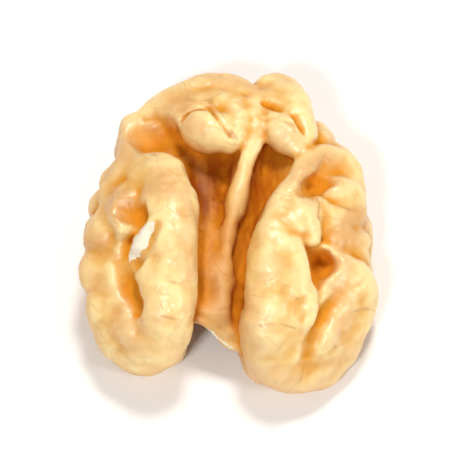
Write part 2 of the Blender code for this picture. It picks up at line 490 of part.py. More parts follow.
def modelled(grain):
    """The whole half in clay."""
    clay = Clay(grain)
    for blend, middle, sizes in CORES.values():
        clay.add_core(middle, sizes, blend)
    for blend, crest in OUTER_FOLDS.values():
        beads = [(*seen_at(u, v, under + radius), radius) for u, v, under, radius in crest]
        clay.add(*clay.strand(curve_through(beads), blend), blend)
    for blend, crest in WALL_FOLDS.values():
        beads = [(*wall_at(turn, height, under + radius), radius) for turn, height, under, radius in crest]
        clay.add(*clay.strand(curve_through([under_rim(*beads[0]), *beads]), blend), blend)
    for blend, beads in INNER_FOLDS.values():
        clay.add(*clay.strand(curve_through(beads), blend), blend)
    for blend, line in GROOVES.values():
        clay.groove(line, blend)
    for height, length, seed in SWELLS:
        clay.swell(height, length, seed)
    return clay


def coarsened(mesh):
    """The mesh with as few triangles as the CAD solid may have, most of them where it bends most."""
    worker = bpy.data.objects.new("worker", mesh)
    bpy.context.scene.collection.objects.link(worker)
    fewer = worker.modifiers.new("fewer triangles", "DECIMATE")
    fewer.ratio = MOST_TRIANGLES / (2 * len(mesh.polygons))
    result = bpy.data.meshes.new_from_object(worker.evaluated_get(bpy.context.evaluated_depsgraph_get()))
    bpy.data.objects.remove(worker)
    return result


def stand(mesh):
    """Puts the middle of the box over the origin, and flattens the lowest spots, on which the half rests."""
    places = np.empty(3 * len(mesh.vertices))
    mesh.vertices.foreach_get("co", places)
    places = places.reshape(-1, 3)
    places[:, :2] -= (places[:, :2].min(axis=0) + places[:, :2].max(axis=0)) / 2.0
    places[:, 2] = np.maximum(places[:, 2] - FLATTENING * MM, 0.0)
    mesh.vertices.foreach_set("co", places.ravel())
    mesh.update()


def kernel_skin():
    material = bpy.data.materials.new("kernel skin")
    material.use_nodes = True
    shader = material.node_tree.nodes["Principled BSDF"]
    shader.inputs["Base Color"].default_value = KERNEL_COLOUR
    shader.inputs["Roughness"].default_value = KERNEL_ROUGHNESS
    return material


def main():
    for old in list(bpy.data.objects):
        bpy.data.objects.remove(old)
    points, faces = modelled(GRAIN).skin()
    clay = bpy.data.meshes.new("clay")
    clay.from_pydata((points * MM).tolist(), [], faces.tolist())
    mesh = coarsened(clay)
    stand(mesh)
    for face in mesh.polygons:
        face.use_smooth = True
    mesh.materials.append(kernel_skin())
    kernel = bpy.data.objects.new("kernel", mesh)
    walnut_half = bpy.data.collections.new("walnut half")
    bpy.context.scene.collection.children.link(walnut_half)
    walnut_half.objects.link(kernel)


main()
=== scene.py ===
# %% [markdown]
# # A walnut half
# This notebook dresses one half of a walnut kernel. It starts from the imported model, which is the
# same half with few triangles, and keeps that model's box, because nothing here may change its size.

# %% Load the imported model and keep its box
import math

import bmesh
import bpy
import numpy as np
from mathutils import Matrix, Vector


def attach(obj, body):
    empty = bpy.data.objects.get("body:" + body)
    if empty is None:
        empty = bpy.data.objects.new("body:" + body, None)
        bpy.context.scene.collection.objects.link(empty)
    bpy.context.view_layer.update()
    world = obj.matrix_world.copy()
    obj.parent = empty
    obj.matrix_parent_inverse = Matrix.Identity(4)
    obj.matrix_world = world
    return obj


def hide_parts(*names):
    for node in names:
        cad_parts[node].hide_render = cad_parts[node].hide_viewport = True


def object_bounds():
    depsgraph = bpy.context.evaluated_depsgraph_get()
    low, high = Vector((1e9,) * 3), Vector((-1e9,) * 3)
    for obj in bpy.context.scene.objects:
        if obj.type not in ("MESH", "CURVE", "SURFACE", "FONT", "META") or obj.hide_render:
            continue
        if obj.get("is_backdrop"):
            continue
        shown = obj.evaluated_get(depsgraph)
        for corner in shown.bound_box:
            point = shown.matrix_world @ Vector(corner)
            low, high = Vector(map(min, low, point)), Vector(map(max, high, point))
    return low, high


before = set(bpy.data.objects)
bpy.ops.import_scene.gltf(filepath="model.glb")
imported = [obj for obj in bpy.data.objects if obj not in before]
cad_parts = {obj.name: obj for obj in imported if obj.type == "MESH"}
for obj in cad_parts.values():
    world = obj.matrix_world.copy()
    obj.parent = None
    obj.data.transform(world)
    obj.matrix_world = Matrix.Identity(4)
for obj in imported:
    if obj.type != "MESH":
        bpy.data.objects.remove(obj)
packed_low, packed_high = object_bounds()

import openvdb
from mathutils import Vector, noise

MM = 0.001
print("packed box, mm:", [round(c / MM, 2) for c in packed_low], [round(c / MM, 2) for c in packed_high])

# %% [markdown]
# ## The nutshell's wall
# A kernel grows against the inner wall of its shell, so the crests of its folds all lie close under
# one rounded wall. A short formula gives that wall. Each fold is then laid by where it appears in a
# view down on the half from its base end, u to the right and v up, and by how deep it lies under the
# wall. So the pattern of the folds can be drawn flat, and the roundness of the nut comes from the
# formula. Lengths are in millimetres until the mesh is made.

# %% The shell's wall and the line of sight
HALF_WIDTH = 14.8
HALF_LENGTH = 16.6
RIM_HEIGHT = 3.0
CROWN_HEIGHT = 13.6
PLAN_POWER = 2.5
RISE_POWER = 2.2
SIGHT_ELEVATION = math.radians(66.0)
SIGHT_MIDDLE = Vector((0.0, 0.0, 6.0))
SIGHT_RAISE = -0.7
SIGHT_STEP = 0.05
SIGHT_REACH = 30.0


def shell_level(point):
    """Under 1 inside the nutshell's inner wall and over 1 outside it."""
    plan = abs(point.x / HALF_WIDTH) ** PLAN_POWER + abs(point.y / HALF_LENGTH) ** PLAN_POWER
    rise = max(0.0, point.z - RIM_HEIGHT) / (CROWN_HEIGHT - RIM_HEIGHT)
    drop = max(0.0, RIM_HEIGHT - point.z) / RIM_HEIGHT
    return plan + rise**RISE_POWER + drop**RISE_POWER


def sight_to(u, v):
    """Points on the line of sight through (u, v), the nearest to the eye first, and its direction."""
    forward = Vector((0.0, math.cos(SIGHT_ELEVATION), -math.sin(SIGHT_ELEVATION)))
    up = Vector((0.0, math.sin(SIGHT_ELEVATION), math.cos(SIGHT_ELEVATION)))
    start = SIGHT_MIDDLE + Vector((u, 0.0, 0.0)) + up * (v + SIGHT_RAISE) - forward * SIGHT_REACH
    steps = int(2 * SIGHT_REACH / SIGHT_STEP)
    return [start + forward * (step * SIGHT_STEP) for step in range(steps)], forward


def seen_at(u, v, under):
    """The point on the line of sight through (u, v), this far under the shell's wall."""
    points, forward = sight_to(u, v)
    nearest = points[0]
    for point in points:
        if shell_level(point) < shell_level(nearest):
            nearest = point
        if shell_level(point) < 1.0:
            break
    return nearest + forward * under


print("the crown, seen at (-5, -3):", [round(c, 1) for c in seen_at(-5.0, -3.0, 0.0)])

# %% [markdown]
# ## A strand of clay
# Every ridge is a round strand along a smooth curve through a few points. A grown ridge is never as
# even as a rope, so a little noise makes it swell and narrow on its way.

# %% The curve of a strand
STRAND_STEP = 0.9
WOBBLE = 0.09
WOBBLE_LENGTH = 2.3


def curve_through(points):
    """Points and radii on a smooth curve through the given ones, with the uneven swell of a grown fold."""
    ends = [points[0], *points, points[-1]]
    strand = []
    for i in range(1, len(ends) - 2):
        before, start, end, after = (Vector(p) for p in ends[i - 1 : i + 3])
        count = max(1, math.ceil((end - start).xyz.length / STRAND_STEP))
        for k in range(count):
            t = k / count
            strand.append(
                start
                + (end - before) * 0.5 * t
                + (before * 2 - start * 5 + end * 4 - after) * 0.5 * t**2
                + (start * 3 - before - end * 3 + after) * 0.5 * t**3
            )
    strand.append(Vector(points[-1]))
    for bead in strand:
        bead.w *= 1.0 + WOBBLE * noise.noise(bead.xyz / WOBBLE_LENGTH)
    return strand


print(len(curve_through([(0, 0, 0, 1), (5, 0, 0, 1), (5, 5, 0, 1)])), "beads on a bent strand of 10 mm")

# %% [markdown]
# ## A block of clay
# Many shapes that must melt into each other are hard to join as meshes. A volume does it easily: it
# stores, at every point of a block, how far that point is from the surface, with a minus inside. Two
# lumps are joined by taking the smaller distance. Where the two are nearly equal the change is made
# soft, over a blend width that says how much they melt together.

# %% The block
BLOCK_LOW = np.array((-16.5, -18.0, -1.5))
BLOCK_HIGH = np.array((16.5, 18.0, 15.5))
GRAIN = 0.205
FAR = 50.0

counts = np.ceil((BLOCK_HIGH - BLOCK_LOW) / GRAIN).astype(int) + 1
block = np.full(counts, FAR)
course = np.zeros(counts)


def part_of(low, high):
    """The block's part between two corners: its slices, and its x, y and z."""
    first = np.clip(np.floor((np.array(low) - BLOCK_LOW) / GRAIN), 0, counts).astype(int)
    last = np.clip(np.ceil((np.array(high) - BLOCK_LOW) / GRAIN) + 1, 0, counts).astype(int)
    where = tuple(slice(a, b) for a, b in zip(first, last))
    grids = [BLOCK_LOW[i] + GRAIN * np.arange(first[i], last[i]) for i in range(3)]
    return where, np.meshgrid(*grids, indexing="ij", sparse=True)


def add(where, own, blend):
    """Blends a lump in, and says where it is the outermost one."""
    field = block[where]
    share = np.clip(0.5 + 0.5 * (own - field) / blend, 0.0, 1.0)
    block[where] = own + (field - own) * share - blend * share * (1.0 - share)
    return own < field


print("the block has", block.size, "points,", GRAIN, "mm apart")

# %% [markdown]
# ## Flesh
# Solid flesh fills the lobes under their folds. Plain ellipsoids are enough for it, because nobody
# sees them.

# %% Fill the lobes
CORES = {
    "left lobe": (0.8, (-8.2, -4.2, 6.0), (4.6, 8.6, 3.8)),
    "left lobe, crown": (0.8, (-6.4, -3.4, 8.4), (2.6, 6.4, 2.6)),
    "left lobe, under the pit": (0.8, (-8.8, 3.0, 7.3), (2.9, 3.8, 2.2)),
    "left shoulder": (0.8, (-7.6, 5.6, 5.2), (3.4, 6.4, 3.2)),
    "right lobe": (0.8, (8.0, -4.8, 6.0), (4.8, 9.0, 3.8)),
    "right lobe, crown": (0.8, (5.6, -4.4, 8.4), (2.6, 6.4, 2.6)),
    "right shoulder": (0.8, (8.6, 3.8, 6.0), (4.0, 6.2, 4.0)),
    "tip": (0.8, (0.2, 10.8, 6.0), (7.8, 3.8, 4.4)),
    "bridge": (1.5, (-0.2, 0.8, 4.9), (4.6, 10.6, 1.5)),
}

for blend, middle, sizes in CORES.values():
    where, grids = part_of(BLOCK_LOW, BLOCK_HIGH)
    share = np.sqrt(sum(((g - m) / s) ** 2 for g, m, s in zip(grids, middle, sizes)))
    add(where, (share - 1.0) * min(sizes), blend)
print("flesh:", round(float((block < 0.0).sum()) * GRAIN**3), "cubic mm")

# %% [markdown]
# ## Laying a strand
# A strand is laid segment by segment, each a round cone between two beads, and only the part of the
# block round it is touched. How far along the strand each point lies is kept too, for the fine veins
# that run across the folds.

# %% Distances from a strand
MARGIN_CELLS = 2.5
SHORTEST_RUN = 1e-9


def strand(points, blend):
    """The block's part round a strand, its distances from the strand and how far along they are."""
    margin = max(p.w for p in points) + blend + MARGIN_CELLS * GRAIN
    low = [min(p[i] for p in points) - margin for i in range(3)]
    high = [max(p[i] for p in points) + margin for i in range(3)]
    where, _ = part_of(low, high)
    own = np.full([cut.stop - cut.start for cut in where], FAR)
    along = np.zeros_like(own)
    gone = 0.0
    for start, end in zip(points, points[1:]):
        low = [min(a, b) - margin for a, b in zip(start.xyz, end.xyz)]
        high = [max(a, b) + margin for a, b in zip(start.xyz, end.xyz)]
        near, (x, y, z) = part_of(low, high)
        near = tuple(slice(n.start - w.start, n.stop - w.start) for n, w in zip(near, where))
        run = end.xyz - start.xyz
        from_start = (x - start.x, y - start.y, z - start.z)
        share = sum(d * r for d, r in zip(from_start, run)) / max(run.length_squared, SHORTEST_RUN)
        share = np.clip(share, 0.0, 1.0)
        gap = np.sqrt(sum((d - share * r) ** 2 for d, r in zip(from_start, run)))
        gap = gap - start.w - share * (end.w - start.w)
        along[near] = np.where(gap < own[near], gone + share * run.length, along[near])
        own[near] = np.minimum(own[near], gap)
        gone += run.length
    return where, own, along


SHARPER = 0.8


def lay(beads, blend):
    """Lays a strand through the beads and blends it in."""
    where, own, along = strand(curve_through(beads), blend)
    outermost = add(where, own, blend)
    course[where] = np.where(outermost, along, course[where])


def lay_outer(folds):
    """Lays folds that are given as they are seen: (u, v, depth under the wall, radius)."""
    for blend, crest in folds.values():
        lay([(*seen_at(u, v, under + radius), radius) for u, v, under, radius in crest], SHARPER * blend)


print("blends are", SHARPER, "of the packed model's, so the creases are a little crisper")

# %% [markdown]
# ## The left lobe
# Its broad inner arm runs along the trough, turns at the base end and comes back as an outer arm with
# a scalloped side. Broad forms are made of two or three strands side by side with a wide blend.

# %% Lay the left lobe
LEFT_FOLDS = {
    "left lobe, inner arm": (0.6, [
        (-6.2, 5.6, 0.9, 2.0), (-5.5, 3.2, 0.3, 2.3), (-5.4, 0.2, 0.0, 2.4), (-5.4, -3.4, 0.0, 2.45),
        (-5.6, -6.8, 0.0, 2.5), (-6.5, -9.9, 0.2, 2.7), (-8.3, -11.1, 0.3, 2.6), (-10.3, -10.0, 0.4, 2.4),
    ]),
    "left lobe, inner arm's broad side": (1.6, [
        (-7.3, 5.0, 1.1, 1.9), (-6.9, 2.6, 0.7, 1.8), (-6.9, 0.0, 0.6, 1.9), (-7.5, -2.6, 0.5, 2.0),
        (-6.9, -5.2, 0.3, 1.8), (-6.9, -7.2, 0.3, 1.9), (-8.0, -9.2, 0.3, 2.2),
    ]),
    "left lobe, inner arm's top end": (0.9, [
        (-5.6, 5.7, 1.3, 1.5), (-7.1, 6.4, 1.7, 1.3), (-8.8, 6.5, 2.1, 1.3),
    ]),
    "left lobe, inner arm's flank": (0.9, [
        (-6.2, 5.4, 3.4, 2.2), (-5.5, 2.0, 3.4, 2.3), (-5.4, -3.0, 3.4, 2.4), (-5.8, -7.0, 3.2, 2.5),
        (-7.2, -9.4, 3.0, 2.5),
    ]),
    "left lobe, saddle": (1.4, [(-8.6, 5.8, 1.9, 1.5), (-8.6, 4.4, 1.6, 1.4), (-9.6, 3.2, 1.8, 1.4)]),
    "left lobe, scalloped outer arm": (0.5, [
        (-11.3, 2.2, 1.1, 1.6), (-12.0, 0.7, 0.7, 1.7), (-12.1, -0.8, 0.4, 1.85), (-12.0, -2.2, 1.0, 1.5),
        (-12.5, -3.9, 0.3, 2.15), (-12.2, -5.8, 0.9, 1.75), (-11.8, -7.4, 0.4, 2.25),
        (-11.0, -9.0, 0.5, 2.2), (-10.2, -10.3, 0.5, 2.3),
    ]),
    "left lobe, slope to the groove": (1.4, [
        (-10.6, 0.2, 1.6, 1.3), (-10.9, -1.8, 1.5, 1.3), (-11.0, -4.2, 1.2, 1.5), (-10.8, -6.6, 0.9, 1.7),
        (-9.8, -8.8, 0.5, 2.0),
    ]),
    "left lobe, fold over the pit": (0.6, [
        (-8.9, 3.8, 1.3, 1.0), (-10.2, 3.9, 1.4, 1.3), (-11.5, 3.1, 1.3, 1.5),
    ]),
    "left shoulder": (0.6, [
        (-9.5, 10.6, 2.0, 1.4), (-9.8, 8.8, 1.8, 1.4), (-9.8, 6.8, 1.6, 1.4), (-10.5, 5.1, 1.4, 1.5),
        (-11.5, 3.8, 1.2, 1.5),
    ]),
    "left lobe, lip under the pit": (0.6, [
        (-8.2, 0.7, 1.0, 1.0), (-9.5, 0.5, 1.4, 0.9), (-10.6, 0.9, 1.3, 0.9),
    ]),
}

lay_outer(LEFT_FOLDS)
print(len(LEFT_FOLDS), "folds of the left lobe")

# %% [markdown]
# ## The tip end
# Here the two lobes are joined. A rim runs round it, and two bulbs hang over the trough.

# %% Lay the tip end
TIP_FOLDS = {
    "tip rim, left": (0.4, [
        (-9.4, 10.6, 2.5, 1.2), (-7.4, 11.9, 2.0, 1.5), (-5.0, 13.1, 1.2, 1.6), (-2.6, 14.1, 0.8, 1.6),
        (-0.4, 14.4, 0.8, 1.5), (1.4, 14.2, 1.2, 1.2),
    ]),
    "tip rim, right knob": (0.4, [
        (4.0, 14.2, 1.1, 1.3), (5.0, 14.2, 0.6, 1.9), (6.2, 13.0, 0.6, 1.9), (7.2, 11.2, 0.8, 1.7),
        (7.6, 9.4, 1.1, 1.5), (7.0, 8.2, 1.6, 1.1),
    ]),
    "tip, cap": (1.4, [(-3.4, 13.2, 1.3, 1.4), (-1.2, 13.6, 1.0, 1.5), (1.0, 13.4, 1.1, 1.4)]),
    "left bulb": (0.6, [
        (-3.5, 10.2, 1.6, 1.6), (-2.5, 10.1, 0.9, 2.1), (-1.1, 9.9, 0.9, 2.0), (-0.3, 9.8, 1.5, 1.6),
    ]),
    "fold over the left bulb": (1.2, [
        (-4.6, 11.6, 1.7, 1.3), (-2.8, 12.3, 1.1, 1.5), (-0.8, 12.4, 0.9, 1.6), (0.6, 11.6, 1.0, 1.5),
        (1.0, 10.4, 1.2, 1.3), (0.7, 9.2, 1.8, 1.0), (0.3, 8.4, 2.8, 0.8),
    ]),
    "bed of the right bulb": (1.2, [(4.0, 13.0, 1.4, 1.3), (5.4, 12.0, 1.2, 1.5), (6.6, 10.8, 1.3, 1.4)]),
    "right bulb": (0.5, [
        (4.9, 11.0, 1.4, 1.5), (5.4, 9.9, 0.9, 1.9), (6.0, 9.2, 1.3, 1.7),
    ]),
}

lay_outer(TIP_FOLDS)
print(len(TIP_FOLDS), "folds of the tip end")

# %% [markdown]
# ## The trough
# Between the lobes the woody middle wall of the nut was, and left a trough. A thin spine runs down
# it, and ends in a torn sheet of flesh at the base end.

# %% Lay the trough
TROUGH_FOLDS = {
    "spine": (0.8, [
        (2.4, 13.7, 1.3, 1.1), (2.6, 11.4, 1.5, 1.1), (2.5, 9.0, 2.2, 1.1), (1.8, 6.6, 3.1, 1.0),
        (1.1, 4.2, 3.7, 0.95), (0.4, 1.2, 4.0, 0.9), (-0.1, -2.0, 4.1, 0.85), (-0.4, -5.0, 4.3, 0.8),
        (-0.5, -7.6, 4.6, 0.7), (-0.3, -9.6, 5.2, 0.5),
    ]),
    "spine's foot": (1.2, [
        (2.6, 10.0, 4.0, 1.6), (1.9, 6.0, 5.2, 1.5), (1.0, 2.0, 5.8, 1.4), (0.2, -2.0, 5.8, 1.3),
        (-0.3, -6.0, 5.6, 1.2), (-0.2, -8.6, 5.8, 0.9),
    ]),
    "trough, left floor": (1.6, [
        (-3.6, 6.6, 6.2, 1.6), (-2.2, 3.0, 6.4, 1.4), (-1.9, -1.0, 5.0, 1.4), (-1.9, -4.4, 4.5, 1.4),
        (-1.9, -7.4, 4.5, 1.1),
    ]),
    "trough, right floor": (1.2, [
        (5.0, 6.4, 6.0, 1.8), (3.4, 3.4, 6.6, 1.5), (2.2, 0.0, 6.8, 1.3), (1.2, -5.0, 6.6, 1.1),
        (0.8, -8.6, 6.2, 0.9),
    ]),
    "torn sheet": (0.6, [
        (-3.8, -7.2, 4.4, 0.8), (-2.2, -7.6, 4.6, 0.8), (-0.8, -8.6, 5.0, 0.8), (0.6, -9.8, 5.4, 0.8),
        (1.6, -10.2, 5.4, 0.8),
    ]),
    "torn sheet's edge": (0.5, [
        (-4.0, -8.3, 4.5, 0.55), (-2.8, -8.5, 4.6, 0.5), (-1.6, -9.1, 4.9, 0.45), (-0.7, -9.9, 5.2, 0.5),
        (0.1, -10.9, 5.4, 0.45), (1.0, -11.1, 5.5, 0.5), (1.8, -11.0, 5.5, 0.5),
    ]),
}

lay_outer(TROUGH_FOLDS)
print(len(TROUGH_FOLDS), "strands in the trough")

# %% [markdown]
# ## The right lobe
# It mirrors the left one only roughly: its inner arm starts in a knuckle, and a cup lies over it.

# %% Lay the right lobe
RIGHT_FOLDS = {
    "right lobe, inner arm round to the outer arm": (0.6, [
        (5.2, 1.6, 0.6, 1.8), (4.4, -0.8, 0.2, 2.15), (4.3, -3.8, 0.0, 2.4), (4.1, -7.0, 0.0, 2.6),
        (4.0, -10.0, 0.2, 2.8), (4.9, -12.5, 0.3, 2.8), (7.4, -13.2, 0.4, 2.6), (9.9, -12.1, 0.5, 2.4),
        (11.6, -9.8, 0.5, 2.2), (12.4, -7.2, 0.5, 2.2), (12.5, -5.4, 0.5, 2.2), (12.0, -4.3, 0.7, 1.9),
    ]),
    "right lobe, knuckle": (1.0, [
        (6.1, -2.7, -0.2, 1.8), (6.3, -4.3, -0.1, 1.8), (6.2, -6.4, 0.2, 1.8), (5.9, -8.6, 0.4, 1.9),
        (6.2, -10.8, 0.6, 2.0),
    ]),
    "right lobe, inner arm's flank": (0.9, [
        (6.0, 1.6, 3.2, 2.2), (4.9, -1.0, 3.4, 2.3), (4.6, -4.0, 3.4, 2.4), (4.2, -7.2, 3.2, 2.5),
        (4.4, -10.0, 3.0, 2.6),
    ]),
    "right lobe, hook over the hole": (0.4, [
        (5.4, 1.2, 0.6, 1.8), (6.6, 1.1, 0.4, 1.8), (7.7, 0.5, 0.5, 1.5), (8.0, -0.6, 0.9, 1.1),
    ]),
    "right lobe, bed of the grooves": (1.6, [
        (8.6, -6.8, 1.5, 1.2), (8.6, -8.6, 1.1, 1.3), (8.4, -10.6, 0.8, 1.6), (8.4, -12.0, 0.7, 1.8),
    ]),
    "right lobe, inner slope of the outer arm": (1.5, [
        (11.0, -3.6, 1.4, 1.3), (11.3, -5.6, 1.0, 1.5), (11.0, -8.2, 0.8, 1.6), (10.2, -10.4, 0.7, 1.8),
    ]),
    "right lobe, fine fold in the groove": (0.4, [
        (9.6, -4.9, 1.9, 0.7), (9.2, -6.3, 1.2, 0.8), (8.7, -7.8, 0.9, 0.85), (8.2, -9.2, 0.8, 0.8),
    ]),
    "right lobe, cup": (0.5, [
        (7.2, 5.6, 1.2, 1.2), (7.9, 6.8, 1.3, 1.2), (9.2, 7.5, 1.4, 1.2), (10.7, 7.5, 1.3, 1.2),
        (11.8, 6.7, 1.1, 1.3), (12.2, 5.0, 0.9, 1.4), (12.1, 3.2, 0.7, 1.6), (12.0, 1.6, 0.9, 1.5),
    ]),
    "right lobe, bank of the trough": (0.7, [
        (4.8, 1.4, 1.0, 1.5), (5.5, 2.7, 1.0, 1.5), (6.3, 4.0, 1.1, 1.4), (7.1, 5.2, 1.3, 1.3),
        (8.0, 6.5, 1.6, 1.1),
    ]),
    "right lobe, floor of the cup": (1.0, [
        (8.9, 6.0, 2.4, 1.5), (10.2, 6.2, 2.0, 1.5), (11.2, 5.6, 1.7, 1.3),
    ]),
    "right lobe, fold under the cup": (0.5, [
        (9.9, 3.8, 1.2, 1.6), (11.2, 4.2, 0.9, 1.6), (12.0, 4.8, 0.9, 1.2),
    ]),
    "right lobe, dome under the cup": (1.2, [
        (10.9, 3.2, 0.7, 2.1), (11.1, 1.6, 0.9, 1.9), (9.8, 1.2, 1.1, 1.6),
    ]),
    "right lobe, dome beside it": (1.0, [
        (6.8, 3.1, 0.9, 1.7), (7.0, 1.8, 0.5, 1.9), (8.4, 2.4, 1.0, 1.5),
    ]),
    "right lobe, low bank over the hole": (0.9, [
        (9.5, 0.2, 1.6, 1.3), (10.6, -0.5, 1.5, 1.5), (11.9, -0.8, 1.5, 1.4), (12.9, -1.0, 1.6, 1.2),
    ]),
    "right lobe, ledge over the hole": (0.3, [
        (9.3, -1.6, 1.9, 0.5), (10.6, -1.7, 1.7, 0.5), (11.8, -1.8, 1.6, 0.5), (12.8, -2.0, 1.7, 0.5),
    ]),
    "right lobe, knots over the hole": (0.4, [
        (9.6, 0.6, 1.4, 0.6), (10.4, 0.9, 1.2, 0.75), (11.2, 0.2, 1.2, 0.7), (10.4, -0.6, 1.3, 0.75),
        (11.5, -1.0, 1.3, 0.7), (12.4, -0.2, 1.2, 0.75),
    ]),
}

lay_outer(RIGHT_FOLDS)
print(len(RIGHT_FOLDS), "folds of the right lobe")

# %% [markdown]
# ## The side walls
# The folds of the walls hang down side by side, each from the top folds to under the rim. They are
# laid out round the shell, by a turn and a height, because the line of sight hardly meets them.

# %% Lay the walls
WALL_FOLDS = {
    "tip, left of the middle": (0.4, [
        (104.0, 2.2, 0.5, 2.0), (102.0, 5.0, 0.2, 2.1), (97.0, 8.0, 0.5, 1.9),
    ]),
    "tip, left": (0.4, [(121.0, 2.4, 0.9, 1.9), (117.0, 5.0, 0.7, 2.0), (117.0, 7.8, 1.2, 1.8)]),
    "left shoulder": (0.4, [(136.0, 2.4, 1.7, 1.9), (137.0, 5.0, 1.8, 1.9), (131.0, 7.6, 2.1, 1.7)]),
    "left shoulder, lower": (0.4, [
        (153.0, 2.4, 1.7, 1.9), (155.0, 5.0, 1.6, 1.9), (149.0, 7.4, 2.1, 1.7),
    ]),
    "left, over the pit": (0.4, [(166.0, 2.4, 1.0, 1.8), (168.0, 5.0, 0.9, 1.8), (165.0, 7.8, 1.3, 1.7)]),
    "left, first scallop": (0.4, [(182.0, 2.3, 0.5, 1.9), (182.0, 4.8, 0.3, 1.9), (180.0, 7.8, 0.8, 1.8)]),
    "left, second scallop": (0.4, [(199.0, 2.3, 0.5, 1.9), (198.0, 4.8, 0.1, 2.0), (196.0, 7.8, 0.8, 1.9)]),
    "left, third scallop": (0.4, [(219.0, 2.2, 0.6, 2.1), (215.0, 4.8, 0.3, 2.1), (212.0, 7.6, 1.1, 2.0)]),
    "left, corner": (0.4, [(235.0, 2.2, 1.1, 2.1), (232.0, 4.6, 1.0, 2.2), (228.0, 7.4, 1.5, 2.0)]),
    "left, end": (0.4, [(242.0, 2.2, 2.0, 1.7), (241.0, 4.4, 1.9, 1.9), (240.0, 7.0, 2.1, 2.0)]),
    "right, end": (0.4, [(285.0, 2.3, 0.8, 2.1), (289.0, 4.8, 0.4, 2.3), (293.0, 7.6, 1.1, 2.2)]),
    "right, corner": (0.4, [(301.0, 2.2, 0.5, 2.1), (306.0, 4.8, 0.4, 2.2), (311.0, 7.6, 1.4, 2.1)]),
    "right, third": (0.4, [(319.0, 2.3, 0.5, 2.1), (324.0, 5.0, 0.4, 2.2), (331.0, 7.8, 1.1, 2.0)]),
    "right, second": (0.4, [(338.0, 2.4, 0.4, 2.0), (342.0, 5.0, 0.2, 2.1), (348.0, 7.4, 0.8, 1.9)]),
    "right, first": (0.4, [(354.0, 2.4, 0.5, 2.0), (359.0, 5.0, 0.5, 2.0), (362.0, 7.8, 1.0, 1.7)]),
    "right, beside the cup": (0.4, [(10.0, 2.4, 0.8, 1.9), (16.0, 5.0, 0.7, 2.0), (14.0, 8.0, 1.1, 1.8)]),
    "right shoulder": (0.4, [(27.0, 2.6, 1.2, 1.9), (33.0, 5.2, 1.2, 1.9), (29.0, 8.0, 1.5, 1.7)]),
    "right shoulder, upper": (0.4, [(45.0, 2.6, 1.6, 1.9), (48.0, 5.2, 1.7, 1.9), (44.0, 7.6, 2.0, 1.6)]),
    "tip, right": (0.4, [(60.0, 2.4, 0.9, 1.9), (63.0, 5.0, 0.8, 1.9), (60.0, 7.8, 1.3, 1.7)]),
    "tip, right knob": (0.4, [(73.0, 2.3, 0.6, 1.9), (77.0, 4.8, 0.3, 2.0), (73.0, 7.8, 0.7, 1.9)]),
    "tip, middle": (0.4, [(88.0, 2.2, 0.5, 1.9), (90.0, 4.6, 0.4, 1.8), (87.0, 7.4, 1.0, 1.4)]),
}

UNDERSIDE_REACH = 2.8
UNDERSIDE_RISE = 0.7
UNDERSIDE_THINNING = 0.3
LOBE_MIDDLE = 7.0
LOBE_SHARE = 0.5


def wall_at(turn, height, under):
    """The point this high on the shell's side wall, towards this turn, and this far inside the wall."""
    rise = max(0.0, height - RIM_HEIGHT) / (CROWN_HEIGHT - RIM_HEIGHT)
    drop = max(0.0, RIM_HEIGHT - height) / RIM_HEIGHT
    across, along_y = math.cos(math.radians(turn)), math.sin(math.radians(turn))
    plan = abs(across / HALF_WIDTH) ** PLAN_POWER + abs(along_y / HALF_LENGTH) ** PLAN_POWER
    reach = ((1.0 - rise**RISE_POWER - drop**RISE_POWER) / plan) ** (1.0 / PLAN_POWER) - under
    return Vector((across * reach, along_y * reach, height))


def under_rim(x, y, z, radius):
    """Where a wall fold that comes down at this point ends, on the inner face."""
    middle = Vector((math.copysign(min(abs(x), LOBE_MIDDLE), x), LOBE_SHARE * y, z))
    way = (middle - Vector((x, y, z))).normalized() * UNDERSIDE_REACH
    return (x + way.x, y + way.y, z + UNDERSIDE_RISE, radius - UNDERSIDE_THINNING)


for blend, crest in WALL_FOLDS.values():
    beads = [(*wall_at(turn, height, under + radius), radius) for turn, height, under, radius in crest]
    lay([under_rim(*beads[0]), *beads], SHARPER * blend)
print(len(WALL_FOLDS), "wall folds")

# %% [markdown]
# ## The inner face
# The half lies on this face. Its rim is thick, and rays run out to it from the middle.

